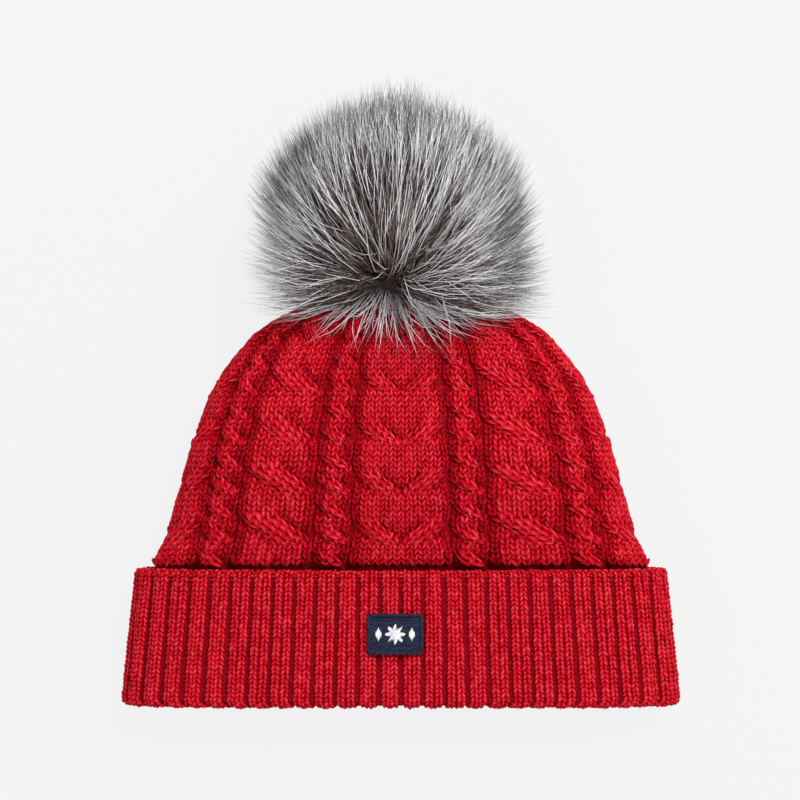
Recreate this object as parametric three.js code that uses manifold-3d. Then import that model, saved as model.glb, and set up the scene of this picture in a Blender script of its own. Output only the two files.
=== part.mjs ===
// A cable-knit winter hat with a folded ribbed cuff and a long-haired pompom, laid flat on its back.
// Millimetres, +Z up. The head opening faces -Y, the pompom lies towards +Y, and the front looks up.
// The origin is under the middle of the whole hat, on the surface that it lies on.
import * as THREE from "three";
import { mergeVertices } from "three/addons/utils/BufferGeometryUtils.js";
import Module from "manifold-3d";

const wasm = await Module();
wasm.setup();

// Cuff: ribbing folded up double. Heights run from the bottom fold, depths from the surface below.
const cuffHeight = 62;
const cuffWidthAtFold = 252;
const cuffWidthAtEdge = 239;
const cuffDepth = 40;
const cuffInnerHeight = 50; // the hidden inner layer, up to where the crown is knitted on
const cuffWall = 2.6; // one layer of ribbing, from its back to the bottom of its grooves
const innerWall = 3; // the inner layer, against the head
const ribCount = 54;
const ribRelief = 1.8;
const ribCrestShare = 0.6; // two knit stitches to one purl
const ribSlopeShare = 0.11; // from the bottom of a groove to its crest
const ribFadeHeight = 6; // below the top edge the ribs run out into a rolled edge
const layerGap = 0.4;
const crownSlack = 1.3; // the crown lies this far behind the outer layer
const crownRise = 0.7; // and this much further at the cuff's top edge

// Crown: cable knit, flattened as it lies, closed in a gather at its tip.
const crownHeight = 126; // from the cuff's top edge to the gather
const crownWidth = 215; // just above the cuff
const crownDepth = 49;
const crownWall = 2.4; // from the inside to the bottom of the purl grooves
const cableRelief = 3.8;
const cablePeriod = 22.3; // between two crossings of the wide cables
const firstCrossing = 11; // above the cuff's top edge
const rowsPerCrossing = 4;
const tipWall = 5; // at the gather, where the knit bunches up
const gatherStart = 0.86; // of the way from the lower edge to the gather, where the hollow ends
const gatherSqueeze = 0.8; // share of the relief that is lost at the gather
const insideRows = 5;
const joinGap = 0.3;

// Pompom: a ball of long fur in pointed locks, pressed flat where it lies.
const pompomWidth = 127;
const pompomLength = 112;
const pompomDepth = 110;
const pompomHeight = 48; // its middle, above the surface below
const pompomBeyondTip = 33; // its middle, beyond the crown's gather
const pompomDroop = 11; // how much further the locks reach that fall over the front of the crown
const pompomSkirt = 11; // and the locks beside the crown's shoulders
const skirtSpread = 4; // a higher number keeps the skirt closer to the shoulders
const lockDetail = 3; // divisions of the ball, which carry a lock each
const lockRoot = 0.8; // where the locks part, as a share of the ball's radius
const lockWaist = 0.93;
const lockWaistWidth = 0.5;
const lockSweep = 0.22; // how far the locks lean away from the gather, as a share of the radius
const waistSweep = 0.4; // share of that lean at the waist
const lockJitter = 0.05;
const seatGap = 0.45;

// Patch: a small embroidered badge on the front of the cuff.
const patchWidth = 25;
const patchHeight = 18.4;
const patchAlong = 33.5; // its middle, above the cuff's fold
const patchAcross = -2.6;
const patchCorner = 1.6;
const groundCorner = 0.3;
const patchThickness = 1.1;
const borderWidth = 1.6;
const borderThickness = 1.9;
const stitchGap = 0.3;
const starRadius = 5;
const starWaist = 2.3;
const starPoints = 8;
const lozengeWidth = 3.2;
const lozengeHeight = 6;
const lozengeAcross = 7.4;
const motifThickness = 0.5;

// Share of each wide or flat height at which the side edge of the hat lies.
const seamShare = 0.42;
const plainCorners = 60; // around a smooth section of the cuff
const insideCorners = 34; // around the inside of the crown

// The crown's sections, from just above the cuff to the gather. reach is a share of crownHeight,
// width of crownWidth, top and bottom of crownDepth.
const crownSections = [
  { reach: 0.1, width: 1.0, top: 0.76, bottom: 0.06 },
  { reach: 0.25, width: 0.946, top: 0.88, bottom: 0.0 },
  { reach: 0.4, width: 0.897, top: 0.97, bottom: 0.0 },
  { reach: 0.54, width: 0.842, top: 1.0, bottom: 0.0 },
  { reach: 0.67, width: 0.775, top: 1.0, bottom: 0.0 },
  { reach: 0.78, width: 0.68, top: 0.99, bottom: 0.0 },
  { reach: 0.86, width: 0.585, top: 0.965, bottom: 0.05 },
  { reach: 0.92, width: 0.46, top: 0.92, bottom: 0.15 },
  { reach: 0.965, width: 0.3, top: 0.86, bottom: 0.28 },
  { reach: 1.0, width: 0.1, top: 0.78, bottom: 0.48 },
];

// The cables around the crown, four times. stitches is each column's width, and samples are the
// places across it, from 0 to 1, that the solid follows.
const cableRepeats = 4;
const cableChart = [
  { column: "horseshoe", stitches: 6.2, samples: [0.02, 0.3, 0.62, 0.94] },
  { column: "purl", stitches: 1.2, samples: [0.5] },
  { column: "rope", stitches: 4, samples: [0.25, 0.75] },
  { column: "purl", stitches: 1.2, samples: [0.5] },
  { column: "wave", stitches: 9.6, samples: [0.06, 0.28, 0.5, 0.72, 0.94] },
  { column: "purl", stitches: 1.2, samples: [0.5] },
  { column: "rope", stitches: 4, samples: [0.25, 0.75] },
  { column: "purl", stitches: 1.2, samples: [0.5] },
  { column: "horseshoe_left", stitches: 6.2, samples: [0.06, 0.38, 0.7] },
];

// One section across the flattened hat: a gently domed front over a flat back, round at both
// sides. t runs from the middle of the front, by +X and the back, and round to the front again.
class FlatSection extends THREE.Curve {
  constructor(halfWidth, seam, rise, drop) {
    super();
    Object.assign(this, { halfWidth, seam, rise, drop });
    this.arcLengthDivisions = 720;
  }
  getPoint(t, target = new THREE.Vector3()) {
    const s = Math.sin(2 * Math.PI * t);
    const c = Math.cos(2 * Math.PI * t);
    const front = this.rise * Math.sqrt(1 + s * s);
    const back = this.drop * Math.sqrt((1 + s * s) * (1 + s ** 4));
    return target.set(this.halfWidth * s, 0, this.seam + c * (c > 0 ? front : back));
  }
  // The points at these shares of the section's length, moved inwards by depthAt(u).
  ring(shares, y, depthAt) {
    return shares.map((u) => {
      const tangent = this.getTangentAt(u);
      const point = this.getPointAt(u);
      const inwards = new THREE.Vector3(tangent.z, 0, -tangent.x);
      return point.addScaledVector(inwards, depthAt(u)).setY(y);
    });
  }
}

// A closed skin made of rings of points joined one after the other, with any number in each.
class RingSkin {
  positions = [];
  index = [];
  rings = [];
  addRing(points, shares) {
    const start = this.positions.length;
    this.positions.push(...points);
    const ring = { start, shares, count: points.length };
    const last = this.rings.at(-1);
    if (last) this.join(last, ring);
    this.rings.push(ring);
    return this;
  }
  join(a, b) {
    let i = 0;
    let j = 0;
    const shareOf = (ring, k) => (k < ring.count ? ring.shares[k] : 1 + ring.shares[0]);
    const at = (ring, k) => ring.start + (k % ring.count);
    while (i < a.count || j < b.count) {
      const stepA = j >= b.count || (i < a.count && shareOf(a, i + 1) <= shareOf(b, j + 1));
      if (stepA) this.index.push(at(a, i), at(a, i + 1), at(b, j));
      else this.index.push(at(a, i), at(b, j + 1), at(b, j));
      if (stepA) i += 1;
      else j += 1;
    }
  }
  // Closes a ring with a fan to one point: the first ring facing back, or the last one.
  cap(point, ring, first) {
    const tip = this.positions.push(point) - 1;
    for (let k = 0; k < ring.count; k++) {
      const [p, q] = [ring.start + k, ring.start + ((k + 1) % ring.count)];
      this.index.push(...(first ? [q, p, tip] : [p, q, tip]));
    }
    return this;
  }
  // Joins the last ring to the first, for a band that is open at both ends.
  closeBand() {
    this.join(this.rings.at(-1), this.rings[0]);
    return this;
  }
  solid() {
    const flat = this.positions.flatMap((p) => [p.x, p.y, p.z]);
    return solidFrom(new Float32Array(flat), new Uint32Array(this.index));
  }
}

function solidFrom(vertProperties, triVerts) {
  return new wasm.Manifold(new wasm.Mesh({ numProp: 3, vertProperties, triVerts }));
}

function solidOfGeometry(geometry) {
  const bare = geometry.index ? geometry.toNonIndexed() : geometry.clone();
  bare.deleteAttribute("normal");
  bare.deleteAttribute("uv");
  const merged = mergeVertices(bare, 1e-3);
  return solidFrom(merged.attributes.position.array, new Uint32Array(merged.index.array));
}

function geometryOfSolid(solid) {
  const mesh = solid.getMesh();
  const geometry = new THREE.BufferGeometry();
  geometry.setAttribute("position", new THREE.BufferAttribute(mesh.vertProperties, 3));
  geometry.setIndex(new THREE.BufferAttribute(mesh.triVerts, 1));
  geometry.computeVertexNormals();
  return geometry;
}

const smooth = (t) => t * t * (3 - 2 * t);
const clamp01 = (t) => Math.min(Math.max(t, 0), 1);

// Shares of a section's length that crowd together at its round sides.
function shareByTurn(section, count) {
  const lengths = section.getLengths();
  return Array.from({ length: count }, (_, k) => {
    const at = Math.round((k / count) * (lengths.length - 1));
    return lengths[at] / lengths.at(-1);
  });
}

// A cuff-shaped section at this height, taken in by inset all round.
function cuffSection(along, inset) {
  const width = THREE.MathUtils.lerp(cuffWidthAtFold, cuffWidthAtEdge, along / cuffHeight);
  const seam = cuffDepth * seamShare;
  return new FlatSection(width / 2 - inset, seam, cuffDepth - seam - inset, seam - inset);
}

// How far each surface of the folded cuff lies inside its rib crests.
const outerLayerBack = ribRelief + cuffWall;
const innerLayerFront = outerLayerBack + layerGap;
const cuffInside = innerLayerFront + innerWall;

// Cuff
// Each rib has a flat crest between two slopes, which both lie inside its own share of the way.
function ribShares() {
  const crestStart = (1 - ribCrestShare) / 2;
  const slope = [crestStart - ribSlopeShare, crestStart + ribSlopeShare / 2];
  const offsets = [...slope, ...slope.map((offset) => 1 - offset).reverse()];
  return Array.from({ length: ribCount }, (_, rib) =>
    offsets.map((offset) => (rib + offset) / ribCount),
  ).flat();
}

function ribDepth(u, strength) {
  const acrossRib = (u * ribCount) % 1;
  const onCrest = Math.abs(acrossRib - 0.5) < ribCrestShare / 2;
  return onCrest ? 0 : ribRelief * strength;
}

function makeCuff() {
  const skin = new RingSkin();
  const ribs = ribShares();
  const foldRadius = cuffInside / 2;
  const edgeRadius = outerLayerBack / 2;
  const slitBottom = foldRadius * 2;
  const ribbed = (along, inset, strength) =>
    skin.addRing(cuffSection(along, inset).ring(ribs, along, (u) => ribDepth(u, strength)), ribs);
  const flat = (along, inset) => {
    const section = cuffSection(along, inset);
    const shares = shareByTurn(section, plainCorners);
    skin.addRing(section.ring(shares, along, () => 0), shares);
  };
  // the bottom fold, from the side against the head to the outside
  flat(foldRadius, cuffInside);
  flat(foldRadius * (1 - Math.SQRT1_2), foldRadius * (1 + Math.SQRT1_2));
  flat(0, foldRadius);
  ribbed(foldRadius * (1 - Math.SQRT1_2), foldRadius * (1 - Math.SQRT1_2), 0.7);
  ribbed(foldRadius, 0, 1);
  // the outside, up to the rolled top edge
  ribbed(cuffHeight - ribFadeHeight, 0, 1);
  ribbed(cuffHeight - edgeRadius, edgeRadius * 0.2, 0.2);
  flat(cuffHeight, edgeRadius);
  flat(cuffHeight - edgeRadius, outerLayerBack);
  // down behind the outer layer, and up the front of the inner one
  flat(slitBottom, outerLayerBack);
  flat(slitBottom, innerLayerFront);
  flat(cuffInnerHeight, innerLayerFront);
  flat(cuffInnerHeight, cuffInside);
  return skin.closeBand().solid();
}

// Crown
// The cables' relief, from 0 in a groove to 1 on a crest. A two-strand cable lies across -1 to 1,
// and its front strand leans towards +1 as it climbs.
function twoStrands(across, climb, lean) {
  const crossing = clamp01((((climb % 1) + 1) % 1) / 0.55);
  const lift = Math.sin(Math.PI * crossing);
  const front = lean * (smooth(crossing) - 0.5);
  const hump = (centre) => Math.sqrt(Math.max(0, 1 - ((across - centre) / 0.6) ** 2));
  return Math.max((0.72 + 0.28 * lift) * hump(front), (0.72 - 0.3 * lift) * hump(-front), 0.15);
}

const reliefOf = {
  purl: () => 0,
  horseshoe: (x, climb) => twoStrands(2 * x - 1, climb, 1),
  horseshoe_left: (x, climb) => twoStrands(1 - 2 * x, climb, 1),
  wave: (x, climb) => twoStrands(2 * x - 1, climb, -1),
  rope: (x, climb) => twoStrands(2 * x - 1, 2 * climb, -1),
};

// Every sampled place around the crown: its share of the way round, its column and its place in it.
function crownPlaces() {
  const repeatStitches = cableChart.reduce((sum, column) => sum + column.stitches, 0);
  const places = [];
  for (let repeat = 0; repeat < cableRepeats; repeat++) {
    let done = 0;
    for (const { column, stitches, samples } of cableChart) {
      for (const across of samples) {
        const share = (repeat + (done + across * stitches) / repeatStitches) / cableRepeats;
        places.push({ share, column, across });
      }
      done += stitches;
    }
  }
  return places;
}

// The crest surface of the crown at each section, tied to the cuff at its lower end.
function crownStations() {
  const inCuff = (along, extra) => {
    const { halfWidth, seam, rise, drop } = cuffSection(along, outerLayerBack + crownSlack + extra);
    return [along, halfWidth, seam + rise, seam - drop];
  };
  const joinAlong = cuffInnerHeight + joinGap;
  const table = crownSections.map(({ reach, width, top, bottom }) => [
    cuffHeight + reach * crownHeight,
    (width * crownWidth) / 2,
    top * crownDepth,
    bottom * crownDepth,
  ]);
  return [inCuff(joinAlong, 0), inCuff(cuffHeight, crownRise), ...table];
}

const stations = crownStations();
// The distance along the front of the crown to each station, which spaces the rows evenly.
const stationReach = stations.reduce((reaches, station, k) => {
  const before = stations[k - 1] ?? station;
  const step = Math.hypot(station[0] - before[0], 0.6 * (station[1] - before[1]));
  return [...reaches, (reaches.at(-1) ?? 0) + step];
}, []);
const stationCurve = new THREE.CubicInterpolant(stationReach, stations.flat(), 4);
const crownReach = stationReach.at(-1);

function crownSection(reach, outwards) {
  const [along, halfWidth, top, lowest] = stationCurve.evaluate(reach);
  const bottom = Math.max(lowest, 0);
  const seam = bottom + (top - bottom) * seamShare;
  const section = new FlatSection(
    halfWidth + outwards,
    seam,
    top - seam + outwards,
    seam - bottom + outwards,
  );
  return { along, section };
}

const tipAlong = cuffHeight + crownHeight;
const tipHeight = (stations.at(-1)[2] + stations.at(-1)[3]) / 2;

const crownRows = Math.round((crownReach * rowsPerCrossing) / cablePeriod);
const reachOfRow = (row) => (crownReach * row) / crownRows;

// The cables start inside the cuff, and towards the gather they shrink with the section.
function reliefAt(reach, along) {
  const start = clamp01((along - cuffInnerHeight) / (cuffHeight - cuffInnerHeight));
  const end = clamp01((reach / crownReach - gatherStart) / (1 - gatherStart));
  return cableRelief * smooth(start) * (1 - gatherSqueeze * smooth(end));
}

function makeCrown() {
  const skin = new RingSkin();
  const places = crownPlaces();
  const shares = places.map((place) => place.share);
  const placeOf = new Map(places.map((place) => [place.share, place]));
  // the inside, from its blind end down to the lower edge
  for (let row = insideRows; row >= 0; row--) {
    const reach = (gatherStart * crownReach * row) / insideRows;
    const { along } = crownSection(reach, 0);
    const { section } = crownSection(reach, -crownWall - reliefAt(reach, along));
    const turns = shareByTurn(section, insideCorners);
    skin.addRing(section.ring(turns, along, () => 0), turns);
  }
  const blindEnd = new THREE.Vector3(0, tipAlong - tipWall - crownWall, tipHeight);
  skin.cap(blindEnd, skin.rings[0], true);
  // the outside, up to the gather
  for (let row = 0; row <= crownRows; row++) {
    const { along, section } = crownSection(reachOfRow(row), 0);
    const climb = (along - cuffHeight - firstCrossing) / cablePeriod;
    const relief = reliefAt(reachOfRow(row), along);
    const depth = (u) => {
      const { column, across } = placeOf.get(u);
      return relief * (1 - reliefOf[column](across, climb));
    };
    skin.addRing(section.ring(shares, along, depth), shares);
  }
  skin.cap(new THREE.Vector3(0, tipAlong, tipHeight), skin.rings.at(-1), false);
  return skin.solid();
}

// Pompom

// Two plain numbers that scatter a row of whole numbers evenly between 0 and 1.
const scatterStep = 12.9898;
const scatterFactor = 43758.5453;
const jitter = (k) => {
  const x = Math.sin(k * scatterStep) * scatterFactor;
  return x - Math.floor(x);
};

function makePompom() {
  const middle = new THREE.Vector3(0, tipAlong + pompomBeyondTip, pompomHeight);
  const reachOf = (d) =>
    1 / Math.hypot(d.x / (pompomWidth / 2), d.y / (pompomLength / 2), d.z / (pompomDepth / 2)) +
    pompomDroop * Math.max(0, -d.y) ** 3 +
    pompomSkirt * (2 * Math.abs(d.x) * Math.max(0, -d.y)) ** skirtSpread;
  const ball = new THREE.IcosahedronGeometry(1, lockDetail).getAttribute("position");
  const corners = [];
  const put = (direction, share) => {
    const d = direction.clone().normalize();
    corners.push(...d.multiplyScalar(share * reachOf(d)).add(middle));
  };
  for (let face = 0; face < ball.count / 3; face++) {
    const rim = [0, 1, 2].map((k) => new THREE.Vector3().fromBufferAttribute(ball, 3 * face + k));
    const centre = rim[0].clone().add(rim[1]).add(rim[2]).divideScalar(3);
    const waist = rim.map((p) => p.clone().lerp(centre, 1 - lockWaistWidth));
    const away = new THREE.Vector3(0, lockSweep, 0).projectOnPlane(centre.clone().normalize());
    waist.forEach((p) => p.addScaledVector(away, waistSweep));
    centre.add(away);
    const tip = 1 - lockJitter * jitter(face + 1);
    for (let k = 0; k < 3; k++) {
      const next = (k + 1) % 3;
      [rim[k], rim[next], waist[next]].forEach((p, n) => put(p, n < 2 ? lockRoot : lockWaist));
      [rim[k], waist[next], waist[k]].forEach((p, n) => put(p, n < 1 ? lockRoot : lockWaist));
      [waist[k], waist[next], centre].forEach((p, n) => put(p, n < 2 ? lockWaist : tip));
    }
  }
  const locks = new THREE.BufferGeometry();
  locks.setAttribute("position", new THREE.Float32BufferAttribute(corners, 3));
  return solidOfGeometry(locks).subtract(surfaceBelow(middle)).subtract(crownClearance());
}

// What the pompom is pressed flat against.
function surfaceBelow(middle) {
  const size = 3 * Math.max(pompomWidth, pompomLength, pompomDepth);
  return solidOfGeometry(new THREE.BoxGeometry(size, size, size).translate(0, middle.y, -size / 2));
}

// The crown's upper half with its clearance, which the pompom wraps around.
function crownClearance() {
  const skin = new RingSkin();
  const lowestRow = Math.floor(crownRows / 2);
  for (let row = lowestRow; row <= crownRows; row++) {
    const { along, section } = crownSection(reachOfRow(row), seatGap);
    const turns = shareByTurn(section, insideCorners);
    skin.addRing(section.ring(turns, along, () => 0), turns);
  }
  const first = crownSection(reachOfRow(lowestRow), 0);
  skin.cap(new THREE.Vector3(0, first.along, first.section.seam), skin.rings[0], true);
  skin.cap(new THREE.Vector3(0, tipAlong + seatGap, tipHeight), skin.rings.at(-1), false);
  return skin.solid();
}

// Patch
function roundedRectangle(Kind, width, height, corner) {
  const [x, y] = [width / 2, height / 2];
  const outline = new Kind();
  outline.moveTo(x - corner, -y);
  outline.absarc(x - corner, -y + corner, corner, -Math.PI / 2, 0, false);
  outline.absarc(x - corner, y - corner, corner, 0, Math.PI / 2, false);
  outline.absarc(-x + corner, y - corner, corner, Math.PI / 2, Math.PI, false);
  outline.absarc(-x + corner, -y + corner, corner, Math.PI, (3 * Math.PI) / 2, false);
  return outline;
}

function star() {
  const corners = Array.from({ length: 2 * starPoints }, (_, k) => {
    const angle = (Math.PI * k) / starPoints;
    const radius = k % 2 ? starWaist : starRadius;
    return new THREE.Vector2(radius * Math.cos(angle), radius * Math.sin(angle));
  });
  return new THREE.Shape(corners);
}

function lozenge() {
  const [x, y] = [lozengeWidth / 2, lozengeHeight / 2];
  const corners = [
    [x, 0],
    [0, y],
    [-x, 0],
    [0, -y],
  ];
  return new THREE.Shape(corners.map((corner) => new THREE.Vector2(...corner)));
}

function raised(shape, thickness) {
  return new THREE.ExtrudeGeometry(shape, { depth: thickness, bevelEnabled: false, curveSegments: 2 });
}

function patchOutline(Kind, inset, corner) {
  return roundedRectangle(Kind, patchWidth - 2 * inset, patchHeight - 2 * inset, corner);
}

function patchBorder() {
  const outline = patchOutline(THREE.Shape, 0, patchCorner);
  outline.holes.push(patchOutline(THREE.Path, borderWidth, groundCorner));
  return raised(outline, borderThickness);
}

function patchGround() {
  return raised(patchOutline(THREE.Shape, borderWidth + stitchGap, groundCorner), patchThickness);
}

function dyed(name, colour, roughness) {
  return new THREE.MeshStandardMaterial({ name, color: colour, roughness, metalness: 0 });
}

const redWool = dyed("red_wool", 0xb80d1e, 0.9);
const silverFur = dyed("silver_fur", 0x8b8587, 0.75);
const navyThread = dyed("navy_thread", 0x1b2140, 0.7);
const whiteThread = dyed("white_thread", 0xe9e8ea, 0.6);

function named(name, geometry, material) {
  const mesh = new THREE.Mesh(geometry, material);
  mesh.name = name;
  return mesh;
}

const hat = new THREE.Group();
hat.add(named("cuff", geometryOfSolid(makeCuff()), redWool));
hat.add(named("crown", geometryOfSolid(makeCrown()), redWool));
hat.add(named("pompom", geometryOfSolid(makePompom()), silverFur));

const patch = new THREE.Group();
patch.add(named("patch_border", patchBorder(), navyThread));
patch.add(named("patch_ground", patchGround(), navyThread));
const motif = new THREE.Group();
motif.position.z = patchThickness + stitchGap;
motif.add(named("patch_star", raised(star(), motifThickness), whiteThread));
for (const [side, name] of [[-1, "patch_lozenge_left"], [1, "patch_lozenge_right"]]) {
  const piece = named(name, raised(lozenge(), motifThickness), whiteThread);
  piece.position.x = side * lozengeAcross;
  motif.add(piece);
}
patch.add(motif);
patch.position.set(patchAcross, patchAlong, cuffDepth + stitchGap);
hat.add(patch);

// The origin is under the middle of the hat's length.
const extent = new THREE.Box3().setFromObject(hat, true);
hat.position.y = -(extent.min.y + extent.max.y) / 2;

export default hat;
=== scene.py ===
"""A winter hat that lies on its back: cable-knit crown, turned-up ribbed cuff with an embroidered
patch, and a fur pompom. Every knitted stitch, embroidery thread and hair is its own small form,
laid out in numbers here and set in place by Geometry Nodes.

Places are worked out in millimetres and become metres when a mesh is made. +X is the hat's right
as it is seen, +Y runs from the cuff to the pompom and +Z is up, out of the hat's front.
"""

import math
from typing import NamedTuple

import bmesh
import bpy
import numpy as np
from bpy.props import FloatProperty, FloatVectorProperty, IntProperty, PointerProperty
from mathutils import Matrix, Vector


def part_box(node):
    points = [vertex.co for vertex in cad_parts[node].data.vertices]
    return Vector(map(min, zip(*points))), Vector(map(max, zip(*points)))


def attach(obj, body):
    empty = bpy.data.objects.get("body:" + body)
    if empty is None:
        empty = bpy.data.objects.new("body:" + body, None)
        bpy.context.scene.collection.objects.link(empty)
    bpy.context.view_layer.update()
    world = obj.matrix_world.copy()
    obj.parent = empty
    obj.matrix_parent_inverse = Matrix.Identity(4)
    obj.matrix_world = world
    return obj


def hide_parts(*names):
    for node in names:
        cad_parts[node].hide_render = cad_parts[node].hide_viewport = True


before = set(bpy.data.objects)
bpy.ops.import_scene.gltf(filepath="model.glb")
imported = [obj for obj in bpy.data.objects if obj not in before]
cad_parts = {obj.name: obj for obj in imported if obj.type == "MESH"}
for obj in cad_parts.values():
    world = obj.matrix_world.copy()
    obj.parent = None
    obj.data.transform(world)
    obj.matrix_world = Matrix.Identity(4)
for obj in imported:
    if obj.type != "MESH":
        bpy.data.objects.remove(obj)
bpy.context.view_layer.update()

bl_info = {
    "name": "Winter Hat",
    "version": (1, 0, 0),
    "blender": (4, 5, 0),
    "location": "View3D > Sidebar > Winter Hat",
    "description": "Builds a cable-knit winter hat with a ribbed cuff, a patch and a fur pompom",
    "category": "Add Mesh",
}

MM = 0.001

# Cuff, in millimetres, as the solid part has it. Heights are measured from the cuff's fold.
FOLD_Y = -138.08
CUFF_HEIGHT = 62
CUFF_WIDTH_AT_FOLD = 252
CUFF_WIDTH_AT_EDGE = 239
CUFF_DEPTH = 40
CUFF_INNER_HEIGHT = 50
OUTER_LAYER_BACK = 4.4
INNER_LAYER_FRONT = 4.8
CUFF_INSIDE = 7.8
RIB_COUNT = 54
RIB_RELIEF = 1.8
# Ribs flatten towards the cuff's edge over this height and on its inside, to these shares of
# their relief, and their sides are round to this power.
RIB_FADE_HEIGHT = 6
RIB_AT_EDGE = 0.15
RIB_INSIDE = 0.4
RIB_ROUND = 2.4
# The share of the hat's depth that lies below the line of its two sides.
SEAM_SHARE = 0.42

# Crown, in millimetres: places on the way from the cuff's top edge to the gather.
CROWN_HEIGHT = 126
CROWN_WIDTH = 215
CROWN_DEPTH = 49
CROWN_WALL = 2.4
CROWN_SLACK = 1.3
# How far the crown's yarn reaches down into the cuff's inner layer, which it is knitted on to.
CROWN_OVERLAP = 1.2
CROWN_RISE = 0.7
# How much a narrowing counts on the way along the crown, against its length.
NARROWING_SHARE = 0.6
# The crown's first stitches lie hidden in the cuff, this far above its inner layer's edge, and
# its last ones end at this share of the way to the gather.
FIRST_STITCH = 7
LAST_STITCH = 0.97
CABLE_RELIEF = 3.8
# How much deeper the crown lies where it comes out of the cuff, and over which lengths it sinks
# to that and rises again.
GROOVE_AT_CUFF = 4
GROOVE_FADE_IN = 8
GROOVE_FADE_OUT = 2
CABLE_PERIOD = 22.3
FIRST_CROSSING = 11
GATHER_START = 0.86
GATHER_SQUEEZE = 0.8
TIP_ALONG = CUFF_HEIGHT + CROWN_HEIGHT
CROWN_SECTIONS = (
    # share of the way, width, top and bottom as shares of the crown's width and depth
    (0.1, 1.0, 0.76, 0.06),
    (0.25, 0.946, 0.88, 0),
    (0.4, 0.897, 0.97, 0),
    (0.54, 0.842, 1, 0),
    (0.67, 0.775, 1, 0),
    (0.78, 0.68, 0.99, 0),
    (0.86, 0.585, 0.965, 0.05),
    (0.92, 0.46, 0.92, 0.15),
    (0.965, 0.3, 0.86, 0.28),
    (1.0, 0.1, 0.78, 0.48),
)
CABLE_REPEATS = 4
CABLE_CHART = (
    # column, its width in stitches, and how far it spreads over the purl gap on either side
    ("horseshoe", 6.2, 0, 0.48),
    ("purl", 1.2, 0, 0),
    ("rope", 4, 0.48, 0.48),
    ("purl", 1.2, 0, 0),
    ("wave", 9.6, 0.48, 0.48),
    ("purl", 1.2, 0, 0),
    ("rope", 4, 0.48, 0.48),
    ("purl", 1.2, 0, 0),
    ("horseshoe_left", 6.2, 0.48, 0),
)
CHART_STITCHES = sum(column[1] for column in CABLE_CHART)


class Cable(NamedTuple):
    """How a cable is worked, in two strands that cross again and again."""

    # Knit wales in each strand, and the way the front strand leans.
    wales: int
    lean: int
    # Crossings in each period, and the share of the way to the next one that each takes.
    often: int
    share: float
    # This is -1 where the cable is a mirror image.
    mirror: int = 1


CABLES = {
    "horseshoe": Cable(wales=3, lean=1, often=1, share=0.44),
    "horseshoe_left": Cable(wales=3, lean=1, often=1, share=0.44, mirror=-1),
    "rope": Cable(wales=2, lean=-1, often=2, share=0.6),
    "wave": Cable(wales=4, lean=-1, often=1, share=0.6),
}
# A cable's height as a share of the relief, how it is rounded off at its edges, over how many
# wales, and how much wider it is between its crossings, in wales.
CABLE_LEVEL = 0.8
EDGE_DROP = 0.95
EDGE_ROUND = 1.8
SWELL = 0.12
# Where a strand crosses over: how much higher it lies, how round it is, and for which share of
# the way it eases in and out.
STRAND_LIFT = 0.2
STRAND_ROUND = 2.2
CROSSING_EASE = 0.3
# The knit beside it: how deep it sinks, the part of that which comes at once, how wide it sinks
# and is pushed aside, in wales, and how soon after it rises again, in millimetres. The last is
# how far under the strand it stays in sight, in wales.
STRAND_SINK = 0.75
SINK_AT_ONCE = 0.4
SINK_WIDTH = 0.75
PUSHED_ASIDE = 0.22
RISE_AGAIN = 3.5
SEEN_UNDER = 0.55

# Pompom, in millimetres: how far it reaches each way from its middle, where that is, and how
# much further it droops over the knit.
POMPOM_REACH = np.array([63.5, 56, 55])
POMPOM_MIDDLE = np.array([0, FOLD_Y + TIP_ALONG + 33, 48])
POMPOM_DROOP = 11

# Embroidered patch on the cuff, in millimetres.
PATCH_ACROSS = -2.6
PATCH_ALONG = 33.5
PATCH_WIDTH = 25
PATCH_HEIGHT = 18.4
PATCH_BAND = 1.8
PATCH_CORNER = 1.0
STAR_RADIUS = 5.0
STAR_WAIST = 2.3
STAR_ARMS = 8
LOZENGE_WIDTH = 3.2
LOZENGE_HEIGHT = 6.0
LOZENGE_ACROSS = 7.4
# Threads: how far apart they lie and half their thickness, and the longest stitch.
BORDER_THREAD = (0.42, 0.55)
GROUND_THREAD = (0.55, 0.42)
MOTIF_THREAD = (0.5, 0.35)
GROUND_STITCH = 3.6
# Against the top of the solid ground: how far its border stands out, and how deep its threads
# and its felt lie. The felt is narrower than the patch by its margin.
BORDER_RISE = 0.2
GROUND_SINK = 0.35
FELT_SINK = 0.4
FELT_MARGIN = 0.6


def linear(hex_colour):
    """An sRGB hex value as linear red, green and blue."""
    parts = [int(hex_colour[k : k + 2], 16) / 255 for k in (1, 3, 5)]
    return [p / 12.92 if p <= 0.04045 else ((p + 0.055) / 1.055) ** 2.4 for p in parts]


def mixed(first, second, share):
    return [a * (1 - share) + b * share for a, b in zip(first, second)]


def smooth(t):
    return t * t * (3 - 2 * t)


def unit(vectors):
    return vectors / np.linalg.norm(vectors, axis=-1, keepdims=True)


def interpolated(table, places):
    """Each column of a table against its first, along a smooth curve through its rows."""
    table = np.array(table, float)
    knots = table[:, 0]
    slopes = np.gradient(table[:, 1:], knots, axis=0)
    at = np.clip(np.searchsorted(knots, places, side="right") - 1, 0, len(knots) - 2)
    step = (knots[at + 1] - knots[at])[:, None]
    t = ((places - knots[at])[:, None]) / step
    start, end = table[at, 1:], table[at + 1, 1:]
    return (
        (1 + 2 * t) * (1 - t) ** 2 * start
        + t * (1 - t) ** 2 * step * slopes[at]
        + smooth(t) * end
        + t * t * (t - 1) * step * slopes[at + 1]
    )


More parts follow.
